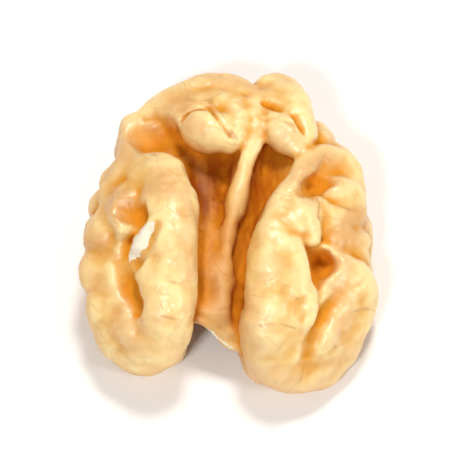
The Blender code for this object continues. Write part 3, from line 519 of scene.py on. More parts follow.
# %% Lay the inner face
INNER_FOLDS = {
    "left rim": (0.9, [
        (-5.2, -8.8, 2.9, 1.4), (-6.0, -11.0, 2.2, 1.7), (-8.2, -12.5, 1.5, 1.9), (-10.6, -11.2, 2.1, 1.8),
        (-12.0, -8.0, 2.5, 1.7), (-12.3, -4.0, 2.4, 1.7), (-11.9, 0.0, 2.2, 1.6), (-11.2, 3.5, 2.4, 1.6),
        (-9.8, 7.0, 2.5, 1.6), (-8.8, 10.0, 2.5, 1.6), (-6.6, 12.2, 2.4, 1.7), (-3.2, 13.8, 2.0, 1.8),
        (0.6, 14.2, 1.7, 1.7),
    ]),
    "right rim": (0.9, [
        (2.6, -9.4, 2.9, 1.4), (2.9, -12.2, 2.3, 1.8), (5.8, -14.0, 1.7, 1.8), (9.4, -12.8, 1.9, 1.8),
        (11.6, -9.8, 2.2, 1.7), (12.5, -5.0, 2.4, 1.6), (12.4, 0.0, 2.4, 1.6), (11.8, 4.0, 2.4, 1.6),
        (10.3, 7.4, 2.5, 1.6), (8.3, 10.3, 2.4, 1.7), (5.4, 12.9, 2.2, 1.7), (3.0, 13.8, 2.2, 1.5),
    ]),
    "left, first ray": (0.8, [(-3.2, 2.0, 4.3, 1.5), (-6.4, 5.0, 3.8, 1.3), (-9.4, 6.4, 2.6, 1.2)]),
    "left, second ray": (0.8, [(-3.4, -0.6, 4.3, 1.5), (-7.4, 0.2, 4.0, 1.3), (-11.2, 0.6, 2.6, 1.2)]),
    "left, third ray": (0.8, [(-3.8, -3.0, 4.3, 1.5), (-7.6, -4.4, 4.0, 1.3), (-11.6, -5.6, 2.6, 1.2)]),
    "left, fourth ray": (0.8, [(-4.2, -5.4, 4.2, 1.5), (-6.8, -8.2, 3.8, 1.3), (-9.2, -11.2, 2.4, 1.2)]),
    "right, first ray": (0.8, [(3.4, 2.6, 4.3, 1.5), (6.4, 6.0, 3.8, 1.3), (8.8, 8.8, 2.6, 1.2)]),
    "right, second ray": (0.8, [(3.6, 0.0, 4.3, 1.5), (7.6, 1.6, 4.0, 1.3), (11.6, 2.4, 2.6, 1.2)]),
    "right, third ray": (0.8, [(3.6, -3.0, 4.3, 1.5), (7.8, -3.4, 4.0, 1.3), (11.8, -3.8, 2.6, 1.2)]),
    "right, fourth ray": (0.8, [(3.6, -5.6, 4.2, 1.5), (6.6, -8.6, 3.8, 1.3), (9.6, -11.4, 2.4, 1.2)]),
    "middle seam": (0.9, [
        (0.6, 12.8, 2.6, 1.4), (0.2, 8.6, 3.2, 1.5), (-0.2, 3.0, 3.6, 1.4), (-0.6, -3.0, 3.6, 1.4),
    ]),
}

for blend, beads in INNER_FOLDS.values():
    lay(beads, SHARPER * blend)
print("clay in all:", round(float((block < 0.0).sum()) * GRAIN**3), "cubic mm")

# %% [markdown]
# ## Filling
# Where two strands lie side by side, the valley between them can be deeper than on the real kernel.
# A strand laid just over the floor of such a valley fills it part of the way and melts into its
# flanks. Each of its points says where it is seen, how high it fills and how thick it is.

# %% Fill the valleys that are too deep
FILLS = {
    "beside the right groove": (0.8, [
        (8.0, -5.3, 0.3, 0.4), (7.9, -6.4, 0.8, 0.5), (7.8, -7.6, 0.9, 0.6), (7.8, -8.8, 0.7, 0.6),
        (7.7, -9.9, 0.2, 0.5),
    ]),
    "over the knuckle": (0.9, [
        (5.3, -1.3, 0.2, 0.5), (6.2, -1.1, 0.3, 0.7), (6.9, -0.4, 0.5, 0.8), (6.8, 0.3, 0.5, 0.8),
        (6.0, 1.1, 0.2, 0.6),
    ]),
    "under the pit": (1.2, [(-10.5, 3.6, 0.2, 0.8), (-10.2, 2.5, 1.6, 1.4), (-10.0, 1.4, 1.1, 1.1)]),
    "left crease": (0.8, [
        (-10.1, 1.2, 0.5, 0.6), (-10.1, 0.2, 0.8, 0.6), (-10.3, -0.8, 0.7, 0.6), (-10.6, -2.0, 0.4, 0.5),
        (-10.8, -2.9, 0.1, 0.4),
    ]),
    "end of the left groove": (1.0, [(-9.1, -7.3, 0.1, 0.6), (-9.3, -8.3, 0.3, 0.9), (-9.4, -9.4, 0.1, 0.8)]),
}


def surface_at(u, v):
    """The point of the surface that is seen at (u, v), and the direction of sight."""
    points, forward = sight_to(u, v)
    for point in points:
        index = np.round((np.array(point) - BLOCK_LOW) / GRAIN).astype(int)
        if (index >= 0).all() and (index < counts).all() and block[tuple(index)] < 0.0:
            break
    return point, forward


def fill(line, blend):
    """Lays a strand along the floor of a valley."""
    marks = [(*surface_at(u, v), height, radius) for u, v, height, radius in line]
    beads = [(*(point + forward * (radius - height)), radius) for point, forward, height, radius in marks]
    where, own, _ = strand(curve_through(beads), blend)
    add(where, own, blend)


for blend, line in FILLS.values():
    fill(line, blend)
print(len(FILLS), "valleys filled")

# %% [markdown]
# ## Grooves and pits
# A groove is a strand too, but it is taken out again. It follows the surface: each of its points is
# looked for along the line of sight, and lies a stated depth under the clay that is met there. The
# same strand is taken out again higher, wider and with softer edges, so the groove's flanks are open.
# The folds leave valleys between them already, so most grooves only deepen one a little.

# %% Press the grooves
GROOVES = {
    "left groove": (0.9, [
        (-11.0, -3.0, 0.1, 0.4), (-10.4, -4.0, 0.2, 0.4), (-9.8, -5.0, 0.3, 0.4), (-9.3, -5.9, 0.35, 0.4),
        (-9.0, -6.7, 0.3, 0.4), (-9.0, -7.3, 0.1, 0.4),
    ]),
    "left pit": (1.4, [(-10.3, 2.4, 0.2, 0.6), (-9.6, 2.1, 0.65, 0.6), (-8.9, 1.8, 0.4, 0.5)]),
    "hollow by the left bulb": (1.2, [(-8.6, 10.4, 0.3, 1.2), (-7.7, 10.0, 0.9, 1.4), (-6.7, 9.2, 0.7, 1.3)]),
    "over the left bulb": (0.3, [(-4.8, 10.9, 0.1, 0.2), (-3.7, 11.8, 0.15, 0.2), (-2.4, 12.2, 0.1, 0.2)]),
    "down the left bulb": (0.3, [(-1.9, 12.4, 0.05, 0.2), (-0.9, 11.0, 0.15, 0.2), (0.3, 9.3, 0.2, 0.2)]),
    "right hole": (0.7, [(8.3, -2.5, 0.8, 0.4), (9.2, -2.7, 1.2, 0.45), (10.2, -2.9, 0.8, 0.35)]),
    "right hole, lower corner": (0.7, [(9.2, -3.1, 1.0, 0.4), (8.7, -3.9, 0.9, 0.4), (8.6, -4.8, 0.4, 0.35)]),
    "right groove": (0.9, [
        (10.8, -6.0, 0.1, 0.3), (10.2, -6.9, 0.35, 0.35), (9.6, -8.0, 0.45, 0.4), (8.9, -9.4, 0.4, 0.4),
        (8.3, -10.7, 0.3, 0.4), (7.8, -11.9, 0.05, 0.3),
    ]),
    "cup crease": (0.8, [
        (7.3, 4.2, 0.1, 0.3), (7.9, 4.5, 0.25, 0.3), (8.7, 4.8, 0.3, 0.35), (9.8, 5.1, 0.1, 0.3),
    ]),
    "knob crease": (0.5, [(3.6, 12.8, 0.08, 0.25), (4.3, 12.5, 0.15, 0.25), (5.1, 12.3, 0.08, 0.25)]),
    "bulb crease": (0.5, [(6.6, 11.5, 0.05, 0.25), (7.1, 10.5, 0.15, 0.25), (7.4, 9.8, 0.1, 0.25)]),
}

GROOVE_LIFTS = (0.0, 0.35, 0.7, 1.0)
GROOVE_FLARE = 0.7
GROOVE_FIRMNESS = 0.3


def press(beads, blend):
    """Takes a strand out of the clay."""
    where, own, _ = strand(curve_through(beads), blend)
    field = block[where]
    share = np.clip(0.5 - 0.5 * (own + field) / blend, 0.0, 1.0)
    block[where] = field - (own + field) * share + blend * share * (1.0 - share)


def groove(line, blend):
    """Presses a groove that follows the surface and has open flanks."""
    marks = [(*surface_at(u, v), depth, radius) for u, v, depth, radius in line]
    for lift in GROOVE_LIFTS:
        beads = [
            (*(point + forward * ((1.0 - lift) * depth - radius)), radius + GROOVE_FLARE * lift * depth)
            for point, forward, depth, radius in marks
        ]
        press(beads, blend * (GROOVE_FIRMNESS + (1.0 - GROOVE_FIRMNESS) * lift))


for blend, line in GROOVES.values():
    groove(line, blend)
print(len(GROOVES), "grooves and pits")

# %% [markdown]
# ## The chip and the fine creases
# On the left lobe a flake of the skin and some flesh came off in cracking. A strand that lies almost
# wholly above the surface shaves it flat there. Each of its points also says how wide the flake is,
# for its colour. The skin also has fine creases, thinner than the block's grain. So they aren't
# pressed: a second block keeps how far each point is from them, and the material draws them.

# %% Shave the chip and lay out the skin creases
CHIP = [(-7.3, 0.8, 0.25), (-7.8, 0.0, 0.6), (-8.4, -1.0, 0.7), (-9.0, -2.0, 0.5), (-9.5, -2.8, 0.2)]
CHIP_DEPTH = 0.12
CHIP_RADIUS = 1.3
CHIP_BLEND = 0.2
SKIN_CREASES = {
    "over the left bulb": [(-1.9, 13.2), (-0.6, 13.9), (0.9, 14.1), (2.0, 13.4)],
    "round the left bulb": [(-5.1, 9.9), (-4.8, 10.9), (-3.7, 11.8), (-2.4, 12.2), (-1.5, 13.2)],
    "left bulb, first": [(-1.9, 12.4), (-1.5, 11.8), (-0.9, 11.0), (0.3, 9.3), (0.7, 8.6)],
    "left bulb, second": [(-1.9, 13.0), (-1.2, 12.4), (-0.5, 11.4), (0.3, 10.0), (1.0, 9.0)],
    "cap": [(-4.3, 13.2), (-2.9, 12.9), (-1.7, 13.3)],
    "down the right bulb": [(3.7, 10.6), (4.1, 9.4), (4.4, 8.2)],
    "left arm, first": [(-3.4, 1.6), (-4.6, 1.2), (-6.2, 1.9), (-7.2, 1.7)],
    "left arm, second": [(-3.2, -4.6), (-4.7, -4.9), (-6.4, -4.4), (-7.6, -4.7)],
    "left arm, third": [(-3.5, -8.0), (-5.0, -8.3), (-6.6, -7.9), (-8.3, -8.4)],
    "left arm, edge": [(-8.9, 4.3), (-8.4, 3.3), (-7.8, 2.4), (-7.2, 1.5)],
    "right arm, first": [(2.2, -5.9), (3.6, -6.2), (5.2, -5.9), (6.8, -6.4)],
    "right arm, second": [(1.6, -8.6), (3.2, -8.9), (4.9, -8.7), (6.4, -9.2)],
    "right arm, third": [(2.3, -12.4), (3.7, -12.2), (4.9, -11.2), (5.6, -10.3)],
    "right end": [(6.8, -15.0), (7.2, -13.8), (7.5, -12.6)],
    "outer arm": [(14.3, -7.6), (13.0, -7.5), (11.8, -7.9)],
    "outer arm, lower": [(12.7, -11.2), (11.4, -10.8), (10.2, -11.2)],
    "dome": [(8.6, 3.7), (8.9, 2.6), (8.8, 1.4), (9.2, 0.7)],
    "dome, right": [(13.3, 2.4), (12.0, 2.2), (10.6, 2.6)],
    "left scallops": [(-11.0, -9.6), (-10.2, -8.6), (-9.6, -8.2)],
}
LINE_RADIUS = 0.05
LINE_REACH = 0.8

lines = np.full(counts, FAR)

chip_beads = []
for u, v, _ in CHIP:
    point, forward = surface_at(u, v)
    chip_beads.append((*(point - forward * (CHIP_RADIUS - CHIP_DEPTH)), CHIP_RADIUS))
press(chip_beads, CHIP_BLEND)
for line in SKIN_CREASES.values():
    beads = [(*surface_at(u, v)[0], LINE_RADIUS) for u, v in line]
    where, own, _ = strand(curve_through(beads), LINE_REACH)
    lines[where] = np.minimum(lines[where], own)
print("one chip,", len(SKIN_CREASES), "skin creases")

# %% [markdown]
# ## Unevenness
# A grown surface is never quite even. Waves of several lengths raise and lower it: the two long ones
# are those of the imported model, and the short ones add what only shows close up. Low ripples cross
# each fold too, where the fine veins run under the skin.

# %% Swells and ripples
SWELLS = [(0.14, 6.5, 3), (0.08, 3.1, 8), (0.03, 1.5, 21), (0.014, 0.8, 5)]
WAVES = 14
RIPPLE_HEIGHT = 0.016
RIPPLE_LENGTH = 2.1


def swell(height, length, seed):
    """Raises and lowers the surface a little, unevenly."""
    random = np.random.default_rng(seed)
    _, (x, y, z) = part_of(BLOCK_LOW, BLOCK_HIGH)
    total = np.zeros(counts)
    for _ in range(WAVES):
        way = random.normal(size=3)
        way *= math.tau / (length * np.linalg.norm(way))
        start = random.uniform(0.0, math.tau)
        total += np.sin(way[0] * x + way[1] * y + way[2] * z + start)
    return height / math.sqrt(WAVES) * total


for height, length, seed in SWELLS:
    block += swell(height, length, seed)
block += RIPPLE_HEIGHT * np.sin(course * math.tau / RIPPLE_LENGTH)
print(len(SWELLS), "swells")

# %% [markdown]
# ## From clay to skin
# Blender comes with the OpenVDB library, which turns a block of distances into a clean closed mesh.
# Only the largest connected surface is kept, so no bubble stays inside.

# %% The surface's points and faces
def surface():
    """The surface as points and four-sided faces."""
    volume = openvdb.FloatGrid(FAR)
    volume.copyFromArray(block.astype(np.float32))
    points, faces = volume.convertToQuads(isovalue=0.0)
    label = np.arange(len(points))
    while True:
        least = label.copy()
        np.minimum.at(least, faces.ravel(), np.repeat(label[faces].min(axis=1), 4))
        least = least[least]
        if (least == label).all():
            break
        label = least
    kept = label == np.bincount(label).argmax()
    number = np.cumsum(kept) - 1
    return points[kept], number[faces[kept[faces[:, 0]]]]


points, faces = surface()
places = BLOCK_LOW + GRAIN * points
print(len(points), "points,", 2 * len(faces), "triangles")

# %% [markdown]
# ## Reading the creases
# The look of a walnut hangs on its creases: pale gold skin on the crests, and saturated orange-brown
# in the depths, where the skin's deeper tone is joined by painted shade. How much clay lies around a
# point of the surface says which it is. On a flat spot half of a small ball is clay, on a crest less,
# in a crease more. Blurring the block gives that share for a small ball and for a large one.

# %% How deep each point lies in a crease
def blurred(values, cells):
    """The mean of the cube of cells round each point, taken twice."""
    for axis in (0, 1, 2, 0, 1, 2):
        pad = [(0, 0)] * 3
        pad[axis] = (cells + 1, cells)
        total = np.cumsum(np.pad(values, pad, mode="edge"), axis=axis)
        wide = 2 * cells + 1
        size = values.shape[axis]
        after = np.take(total, range(wide, wide + size), axis=axis)
        values = (after - np.take(total, range(size), axis=axis)) / wide
    return values


def sampled(values):
    """The block's values at the surface's points."""
    base = np.clip(np.floor(points).astype(int), 0, counts - 2)
    share = points - base
    result = np.zeros(len(points))
    for corner in np.ndindex(2, 2, 2):
        weight = np.prod(np.where(corner, share, 1.0 - share), axis=1)
        result += weight * values[tuple((base + corner).T)]
    return result


SMALL_BALL = 2
LARGE_BALL = 6

solid = (block < 0.0).astype(float)
crease = sampled(blurred(solid, SMALL_BALL))
hollow = sampled(blurred(solid, LARGE_BALL))
print("crease", np.percentile(crease, (1, 10, 50, 90, 99)).round(2), "for 1, 10, 50, 90 and 99 %")
print("hollow", np.percentile(hollow, (1, 10, 50, 90, 99)).round(2), "likewise")

# %% [markdown]
# ## Other things the skin must know
# Deep parts that never touched the shell, the trough and the inner face, are darker; in the trough
# the darkening is partly painted shade, and brown painted shade lies under the bulbs. The shell's
# formula gives that depth. The inner face is where the surface looks down. Pale flesh shows at the
# chip, and along the edge of the sheet that tore in the trough. Russet is painted over some listed
# spots; over the cup it is painted shade. Flanks that look to the left or to the tip end are painted
# a darker gold than the rest, as painted shade.

# %% Depth and inner face
INNER_SLANT = (0.05, 0.55)
INNER_DEPTH = (0.3, 0.7)


def ramp(values, low, high):
    """0 where the values are low and 1 where they are high, along a straight line."""
    return np.clip((values - low) / (high - low), 0.0, 1.0)


x, y, z = places.T
rise = np.maximum(0.0, z - RIM_HEIGHT) / (CROWN_HEIGHT - RIM_HEIGHT)
drop = np.maximum(0.0, RIM_HEIGHT - z) / RIM_HEIGHT
plan = np.abs(x / HALF_WIDTH) ** PLAN_POWER + np.abs(y / HALF_LENGTH) ** PLAN_POWER
depth = 1.0 - plan - rise**RISE_POWER - drop**RISE_POWER
facing = [sampled(np.gradient(blurred(block, 1), GRAIN, axis=axis)) for axis in range(3)]
# flank: how far each point faces left or to the tip end; those flanks are painted a darker gold, as painted
# shade.
flank = np.maximum(-facing[0], facing[1])
looks_down = -facing[2]
inner = ramp(looks_down, *INNER_SLANT) * ramp(depth, *INNER_DEPTH)
print((inner > 0.5).sum(), "points on the inner face")

# %% Chip, torn edge and ruddy places
seen_u = x
seen_v = y * math.sin(SIGHT_ELEVATION) + (z - SIGHT_MIDDLE.z) * math.cos(SIGHT_ELEVATION) - SIGHT_RAISE
TORN_EDGE = [(-3.4, -9.0, 0.1), (-2.3, -9.2, 0.1), (-1.3, -10.0, 0.1), (-0.4, -10.8, 0.1), (1.0, -11.8, 0.1)]
chip = np.full(len(x), FAR)
for (u0, v0, width0), (u1, v1, width1) in [*zip(CHIP, CHIP[1:]), *zip(TORN_EDGE, TORN_EDGE[1:])]:
    run_u, run_v = u1 - u0, v1 - v0
    share = ((seen_u - u0) * run_u + (seen_v - v0) * run_v) / (run_u**2 + run_v**2)
    share = np.clip(share, 0.0, 1.0)
    aside = np.hypot(seen_u - u0 - share * run_u, seen_v - v0 - share * run_v)
    chip = np.minimum(chip, aside - width0 - share * (width1 - width0))
chip = np.where(looks_down < 0.0, chip, FAR)

# Russet spots, given by where they are seen; over the cup the russet is painted shade.
RUSSET_SPOTS = [
    (9.4, 6.4, 2.3), (11.2, -0.6, 1.7), (-10.2, 8.2, 2.0), (-7.6, 9.6, 1.8), (-11.0, 3.0, 1.8),
    (-9.9, 2.0, 1.3), (12.6, 1.4, 1.5), (-12.6, -1.0, 1.4), (8.2, 4.6, 1.9), (-4.6, 12.9, 1.8),
    (-6.2, 4.8, 1.7),
]
ruddy = sum(np.exp(-((seen_u - u) ** 2 + (seen_v - v) ** 2) / size**2) for u, v, size in RUSSET_SPOTS)
print((chip < 0.0).sum(), "points on the chip")

# %% [markdown]
# ## The mesh
# The clay becomes one mesh. It is moved and scaled by a hair so that it fills exactly the packed
# model's box, and its lowest spots are flat, because the half rests on them.

# %% Make the kernel's mesh
FLATTENING = 0.12

places[:, 2] = np.maximum(places[:, 2] - FLATTENING, 0.0)
low, high = places.min(axis=0), places.max(axis=0)
box_low, box_high = np.array(packed_low) / MM, np.array(packed_high) / MM
fit = (box_high - box_low) / (high - low)
places = box_low + (places - low) * fit
print("scaled by", fit.round(4))

mesh = bpy.data.meshes.new("kernel skin")
mesh.from_pydata((places * MM).tolist(), [], faces.tolist())
mesh.shade_smooth()
skin_values = {"crease": crease, "hollow": hollow, "depth": depth, "inner": inner, "chip": chip}
skin_values.update({"course": sampled(course), "line": sampled(lines), "up": facing[2]})
skin_values.update({"ruddy": ruddy, "flank": flank})
for name, values in skin_values.items():
    layer = mesh.attributes.new(name, "FLOAT", "POINT")
    layer.data.foreach_set("value", values.astype(np.float32))
kernel = bpy.data.objects.new("kernel_skin", mesh)
bpy.context.scene.collection.objects.link(kernel)
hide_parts("kernel")
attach(kernel, "root")
print("the skin has", len(mesh.polygons), "faces")

# %% [markdown]
# ## The seed skin
# The skin is a tenth of a millimetre thick, so light goes through it and the flesh glows. The
# material is built in steps, each in its own cell. These helpers keep the cells short.

# %% Helpers for the material
skin = bpy.data.materials.new("seed skin")
skin.use_nodes = True
tree = skin.node_tree
shader = tree.nodes["Principled BSDF"]


def add_node(kind, inputs, **settings):
    """A new node of the skin's material; each input is given a value or a link."""
    made = tree.nodes.new(kind)
    for name, value in settings.items():
        setattr(made, name, value)
    for name, value in inputs.items():
        if isinstance(value, bpy.types.NodeSocket):
            tree.links.new(value, made.inputs[name])
        else:
            made.inputs[name].default_value = value
    return made


def stored(name):
    """A value that the mesh keeps for each of its points."""
    return add_node("ShaderNodeAttribute", {}, attribute_name=name).outputs["Fac"]


def between(value, low, high):
    """0 where the value is low and 1 where it is high, with a smooth change."""
    inputs = {"Value": value, "From Min": low, "From Max": high}
    return add_node("ShaderNodeMapRange", inputs, interpolation_type="SMOOTHSTEP").outputs["Result"]


def mixed(share, one, two):
    """One colour at share 0 and the other at share 1."""
    return add_node("ShaderNodeMix", {0: share, 6: one, 7: two}, data_type="RGBA").outputs[2]


def math_of(operation, one, two):
    """One number made from two."""
    return add_node("ShaderNodeMath", {0: one, 1: two}, operation=operation).outputs[0]


def patches(vector, scale, detail):
    """Cloudy noise; scale is in patches a metre."""
    inputs = {"Vector": vector, "Scale": scale, "Detail": detail, "Roughness": 0.6}
    return add_node("ShaderNodeTexNoise", inputs).outputs["Fac"]


here = add_node("ShaderNodeTexCoord", {}).outputs["Object"]
print("helpers ready")

# %% [markdown]
# ## Colour
# Pale gold on the crests, tan on the flanks, then orange and at last brown where the creases are
# narrow and deep, and in the trough under the bulbs. Much of it is painted light and shade. The
# crests are pale partly for their thinner skin, and are painted paler where they face up and a darker
# gold where they face left or to the tip end. The orange of hollows, creases and the deep trough is
# painted shade over the skin's own deeper tone there, and the brown of narrow creases and under the
# bulbs is painted shade. Soft patches keep any two places from being quite the same. First come the
# masks. Each runs from 0 to 1 between the two values of its pair.

# %% Masks of crests, hollows, creases and trough
CREST_BEND = (1.06, 0.80)
TOP_LIGHT_UP = (-0.4, 0.5)
FLANK_SHADE = (1.1, 0.35)
TROUGH_DEPTH = (0.40, 0.80)
HOLLOW_SHARE = (0.46, 0.68)
CREASE_SHARE = (0.51, 0.67)
NARROW_SHARE = (0.62, 0.74)
# Where the trough under the bulbs is given painted shade.
BULB_SHADE_DEPTH = (0.60, 0.82)
BULB_SHADE_Y = (-0.005, 0.003)

crease_of, hollow_of, depth_of = stored("crease"), stored("hollow"), stored("depth")
bend_of = math_of("ADD", crease_of, hollow_of)
in_trough = between(depth_of, *TROUGH_DEPTH)
# Crests are painted pale, partly for their thinner skin and partly as painted light: paler where they face
# up, a darker gold on flanks that face left or to the tip end.
pale_crest_and_light = math_of("MULTIPLY", between(bend_of, *CREST_BEND), between(stored("up"), *TOP_LIGHT_UP))
pale_crest_and_light = math_of("MULTIPLY", pale_crest_and_light, between(stored("flank"), *FLANK_SHADE))
pale_crest_and_light = math_of("MULTIPLY", pale_crest_and_light, math_of("SUBTRACT", 1.0, in_trough))
# Orange in hollows and creases: the skin's deeper tone there together with painted shade.
hollow_tone_and_shade = between(hollow_of, *HOLLOW_SHARE)
crease_tone_and_shade = between(crease_of, *CREASE_SHARE)
# Narrow, deep creases get brown painted shade.
narrow_crease_shade = math_of("MULTIPLY", hollow_tone_and_shade, between(crease_of, *NARROW_SHARE))
tipwards = add_node("ShaderNodeSeparateXYZ", {0: here}).outputs["Y"]
# Painted shade under the bulbs, in the deep tip-end part of the trough.
shade_under_bulbs = math_of("MULTIPLY", between(depth_of, *BULB_SHADE_DEPTH), between(tipwards, *BULB_SHADE_Y))
print("masks ready")

# %% [markdown]
# Every colour is painted over the last through a mask, so the order matters: crests and flanks come
# first, and the brown painted shade of the deepest creases and under the bulbs last. The patches are
# given in patches a metre.

# %% Colour of folds and creases
PALE = (0.94, 0.725, 0.345, 1.0)
GOLD = (0.79, 0.45, 0.12, 1.0)
ROSY = (0.74, 0.42, 0.19, 1.0)
ORANGE = (0.68, 0.255, 0.016, 1.0)
DEEP_ORANGE = (0.50, 0.150, 0.008, 1.0)
RUSSET = (0.64, 0.31, 0.10, 1.0)
SHADE_BROWN = (0.33, 0.065, 0.003, 1.0)

ROSY_PATCHES = 160.0
ORANGE_PATCHES = 420.0
TROUGH_STREAKS = 650.0
ALONG_TROUGH = (1.0, 0.3, 0.6)


def painted(mask, strength, under, over):
    """One colour painted over another where the mask is, no stronger than this strength."""
    return mixed(math_of("MULTIPLY", mask, strength), under, over)


# Pale on the crests and gold elsewhere: partly the crests' thinner skin, partly painted light on surfaces
# that face up and painted shade on left and tipward flanks.
colour = mixed(pale_crest_and_light, GOLD, PALE)
colour = painted(between(patches(here, ROSY_PATCHES, 3.0), 0.46, 0.66), 0.5, colour, ROSY)
# Russet over the listed spots; over the cup it is painted shade.
colour = painted(between(stored("ruddy"), 0.0, 1.0), 0.65, colour, RUSSET)
colour = painted(between(patches(here, ORANGE_PATCHES, 5.0), 0.5, 0.75), 0.3, colour, ORANGE)
# Orange painted shade in hollows and creases, over the skin's own deeper tone there.
colour = painted(hollow_tone_and_shade, 0.95, colour, ORANGE)
colour = painted(crease_tone_and_shade, 0.9, colour, ORANGE)
lengthwise = add_node("ShaderNodeMapping", {"Vector": here, "Scale": ALONG_TROUGH}).outputs[0]
streaks = between(patches(lengthwise, TROUGH_STREAKS, 4.0), 0.30, 0.74)
# The deep trough: its own streaky orange, darkened with depth as painted shade.
colour = painted(in_trough, 0.9, colour, mixed(streaks, DEEP_ORANGE, ORANGE))
# Brown painted shade in narrow creases and under the bulbs.
crease_and_bulb_shade = math_of("MAXIMUM", narrow_crease_shade, math_of("MULTIPLY", shade_under_bulbs, math_of("SUBTRACT", 1.1, streaks)))
colour = painted(crease_and_bulb_shade, 0.85, colour, SHADE_BROWN)
print("colour of the folds mixed")

# %% [markdown]
# ## Veins
# Fine brown veins run in the skin. Some cross the folds at even steps, and these use the distance
# along each strand. Others branch freely, like the borders of cells in a bent grid. The longest ones
# lie in the skin creases that were laid out above. Veins fade in and out, as real ones do.

# %% Veins
VEIN = (0.42, 0.16, 0.035, 1.0)
VEIN_STEP = 1.75
VEIN_SHIFT = 2.4
VEIN_CELLS = 260.0
CELL_BEND = (0.004, 0.004, 0.004)
CELL_BORDER = (0.05, 0.0)
CROSSING_WIDTH = (0.055, 0.0)
LINE_WIDTH = (0.22, 0.02)

bend = add_node("ShaderNodeTexNoise", {"Vector": here, "Scale": VEIN_CELLS, "Detail": 3.0}).outputs["Color"]
bent = add_node("ShaderNodeVectorMath", {0: bend, 1: CELL_BEND}, operation="MULTIPLY")
bent = add_node("ShaderNodeVectorMath", {0: here, 1: bent.outputs[0]}, operation="ADD").outputs[0]
cells = add_node("ShaderNodeTexVoronoi", {"Vector": bent, "Scale": VEIN_CELLS}, feature="DISTANCE_TO_EDGE")
branching = math_of("MULTIPLY", between(cells.outputs["Distance"], *CELL_BORDER), 0.4)

shift = math_of("MULTIPLY", patches(here, 300.0, 2.0), VEIN_SHIFT)
steps = math_of("DIVIDE", math_of("ADD", stored("course"), shift), VEIN_STEP)
crossing = between(math_of("PINGPONG", steps, 0.5), *CROSSING_WIDTH)
fading = between(patches(here, 230.0, 2.0), 0.40, 0.62)
veins = math_of("MULTIPLY", math_of("MAXIMUM", branching, crossing), fading)
drawn = between(stored("line"), *LINE_WIDTH)
drawn = math_of("MULTIPLY", drawn, between(patches(here, 500.0, 2.0), 0.3, 0.6))
colour = painted(veins, 0.42, colour, VEIN)
colour = painted(drawn, 0.6, colour, VEIN)
veins = math_of("MAXIMUM", veins, drawn)
print("veins mixed in")

# %% [markdown]
# ## The inner face
# It is redder and fibrous, with streaks that run outwards from the middle.

# %% Colour of the inner face
RED_BROWN = (0.36, 0.115, 0.035, 1.0)
TAN = (0.66, 0.36, 0.14, 1.0)

FIBRES = 900.0
ALONG_RAYS = (0.22, 1.0, 1.0)

outwards = add_node("ShaderNodeMapping", {"Vector": here, "Scale": ALONG_RAYS}).outputs[0]
inside = mixed(between(depth_of, 0.45, 0.95), TAN, RED_BROWN)
inside = painted(between(patches(outwards, FIBRES, 6.0), 0.36, 0.68), 0.5, inside, TAN)
colour = painted(stored("inner"), 0.9, colour, inside)
print("inner face coloured")

# %% [markdown]
# ## The chip and worn specks
# Where the skin came off, the flesh is ivory, dry and a little grainy.

# %% Colour of bare flesh
IVORY = (0.90, 0.83, 0.66, 1.0)

CHIP_EDGE = (0.50, 0.40)
RAGGED = 900.0
SPECKS = 1300.0
SPECK_EDGE = (0.735, 0.76)

ragged = math_of("MULTIPLY", patches(here, RAGGED, 4.0), 0.9)
bare = between(math_of("ADD", stored("chip"), ragged), *CHIP_EDGE)
specks = between(patches(here, SPECKS, 2.0), *SPECK_EDGE)
specks = math_of("MULTIPLY", specks, math_of("MULTIPLY", pale_crest_and_light, 0.6))
bare = math_of("MAXIMUM", bare, specks)
colour = mixed(bare, colour, IVORY)
tree.links.new(colour, shader.inputs["Base Color"])
print("chip coloured")

# %% [markdown]
# ## Gloss, glow and relief
# The skin is satin, and drier in the trough and on bare flesh. The finest relief is too small for
# the mesh, so it is a bump: grain, and the veins a little sunk in.

# %% Finish of the skin
GLOSS_BEND = (1.2, 0.95)
SMOOTHEST = 0.24
ROUGHEST = 0.44
SATIN_PATCHES = 700.0
GRAIN_PATCHES = 1400.0

shader.inputs["Subsurface Weight"].default_value = 0.22
shader.inputs["Subsurface Radius"].default_value = (1.0, 0.42, 0.15)
shader.inputs["Subsurface Scale"].default_value = 0.0011
gloss = between(bend_of, *GLOSS_BEND)
tree.links.new(math_of("MULTIPLY", gloss, 0.6), shader.inputs["Specular IOR Level"])
satin = {"Value": patches(here, SATIN_PATCHES, 4.0), "To Min": SMOOTHEST, "To Max": ROUGHEST}
satin = add_node("ShaderNodeMapRange", satin).outputs["Result"]
drier = math_of("MAXIMUM", bare, in_trough)
rough = math_of("ADD", satin, math_of("MULTIPLY", drier, 0.3))
tree.links.new(rough, shader.inputs["Roughness"])

grained = {"Height": patches(here, GRAIN_PATCHES, 6.0), "Strength": 0.4, "Distance": 0.00012}
grain = add_node("ShaderNodeBump", grained).outputs["Normal"]
veined = {"Height": veins, "Strength": 0.5, "Distance": 0.00008, "Normal": grain}
ridges = add_node("ShaderNodeBump", veined, invert=True)
tree.links.new(ridges.outputs["Normal"], shader.inputs["Normal"])
mesh.materials.append(skin)
print("skin material done")

# %% [markdown]
# ## The studio
# A plain pale floor, and a soft lamp high over the tip end. Two weaker ones, in front and at the right,
# put their gleam on the lobes' round ends and on the outer arm.

# %% Floor
FLOOR_SIZE = 1.5

floor_mesh = bpy.data.meshes.new("floor")
build = bmesh.new()
bmesh.ops.create_grid(build, x_segments=1, y_segments=1, size=FLOOR_SIZE)
build.to_mesh(floor_mesh)
build.free()
floor = bpy.data.objects.new("floor", floor_mesh)
bpy.context.scene.collection.objects.link(floor)
paper = bpy.data.materials.new("pale paper")
paper.use_nodes = True
paper.node_tree.nodes["Principled BSDF"].inputs["Base Color"].default_value = (0.92, 0.915, 0.91, 1.0)
paper.node_tree.nodes["Principled BSDF"].inputs["Roughness"].default_value = 0.8
floor_mesh.materials.append(paper)
floor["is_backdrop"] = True
print("floor laid")

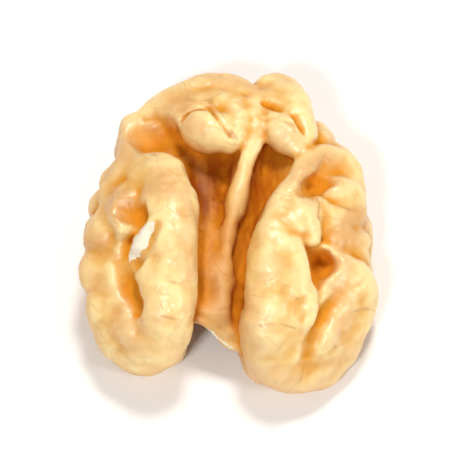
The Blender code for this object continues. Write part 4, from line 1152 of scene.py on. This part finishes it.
# %% Lamps
LIT_PLACE = Vector((0.0, 0.0, 0.006))
LAMPS = {
    "key": ((0.02, 0.11, 0.25), 0.06, 0.46, (1.0, 0.975, 0.94)),
    "front lamp": ((-0.07, -0.15, 0.23), 0.04, 0.34, (1.0, 0.98, 0.95)),
    "side lamp": ((0.22, -0.10, 0.14), 0.06, 0.20, (1.0, 0.98, 0.95)),
}


def add_lamp(name, place, size, power, colour):
    """A square lamp that shines on the half."""
    lamp = bpy.data.lights.new(name, "AREA")
    lamp.size = size
    lamp.energy = power
    lamp.color = colour
    holder = bpy.data.objects.new(name, lamp)
    holder.location = place
    holder.rotation_euler = (LIT_PLACE - Vector(place)).to_track_quat("-Z", "Y").to_euler()
    bpy.context.scene.collection.objects.link(holder)


for name, values in LAMPS.items():
    add_lamp(name, *values)
world = bpy.data.worlds.new("studio")
bpy.context.scene.world = world
world.use_nodes = True
world.node_tree.nodes["Background"].inputs["Color"].default_value = (1.0, 0.995, 0.985, 1.0)
world.node_tree.nodes["Background"].inputs["Strength"].default_value = 0.28
print(len(LAMPS), "lamps and a pale world")

# %% [markdown]
# ## The camera
# It looks down on the base end at 66 degrees, as the photograph does, with a long lens.

# %% Camera
LENS = 170.0
DISTANCE = 0.215
AIM = Vector((0.0, 0.0, 0.0055))

lens = bpy.data.cameras.new("camera")
lens.lens = LENS
lens.clip_start = 0.005
camera = bpy.data.objects.new("camera", lens)
back = Vector((0.0, -math.cos(SIGHT_ELEVATION), math.sin(SIGHT_ELEVATION)))
camera.location = AIM + back * DISTANCE
camera.rotation_euler = (-back).to_track_quat("-Z", "Y").to_euler()
bpy.context.scene.collection.objects.link(camera)
bpy.context.scene.camera = camera
bpy.context.scene.view_settings.view_transform = "Standard"
print("camera at", [round(c, 4) for c in camera.location])

# %% [markdown]
# ## The sizes
# The box of the dressed model is kept next to that of the imported one.

# %% The sizes
shown_low, shown_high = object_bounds()
sizes = {"packed": [list(packed_low), list(packed_high)], "shown": [list(shown_low), list(shown_high)]}
print("shown box, mm:", [round(c / MM, 2) for c in shown_low], [round(c / MM, 2) for c in shown_high])
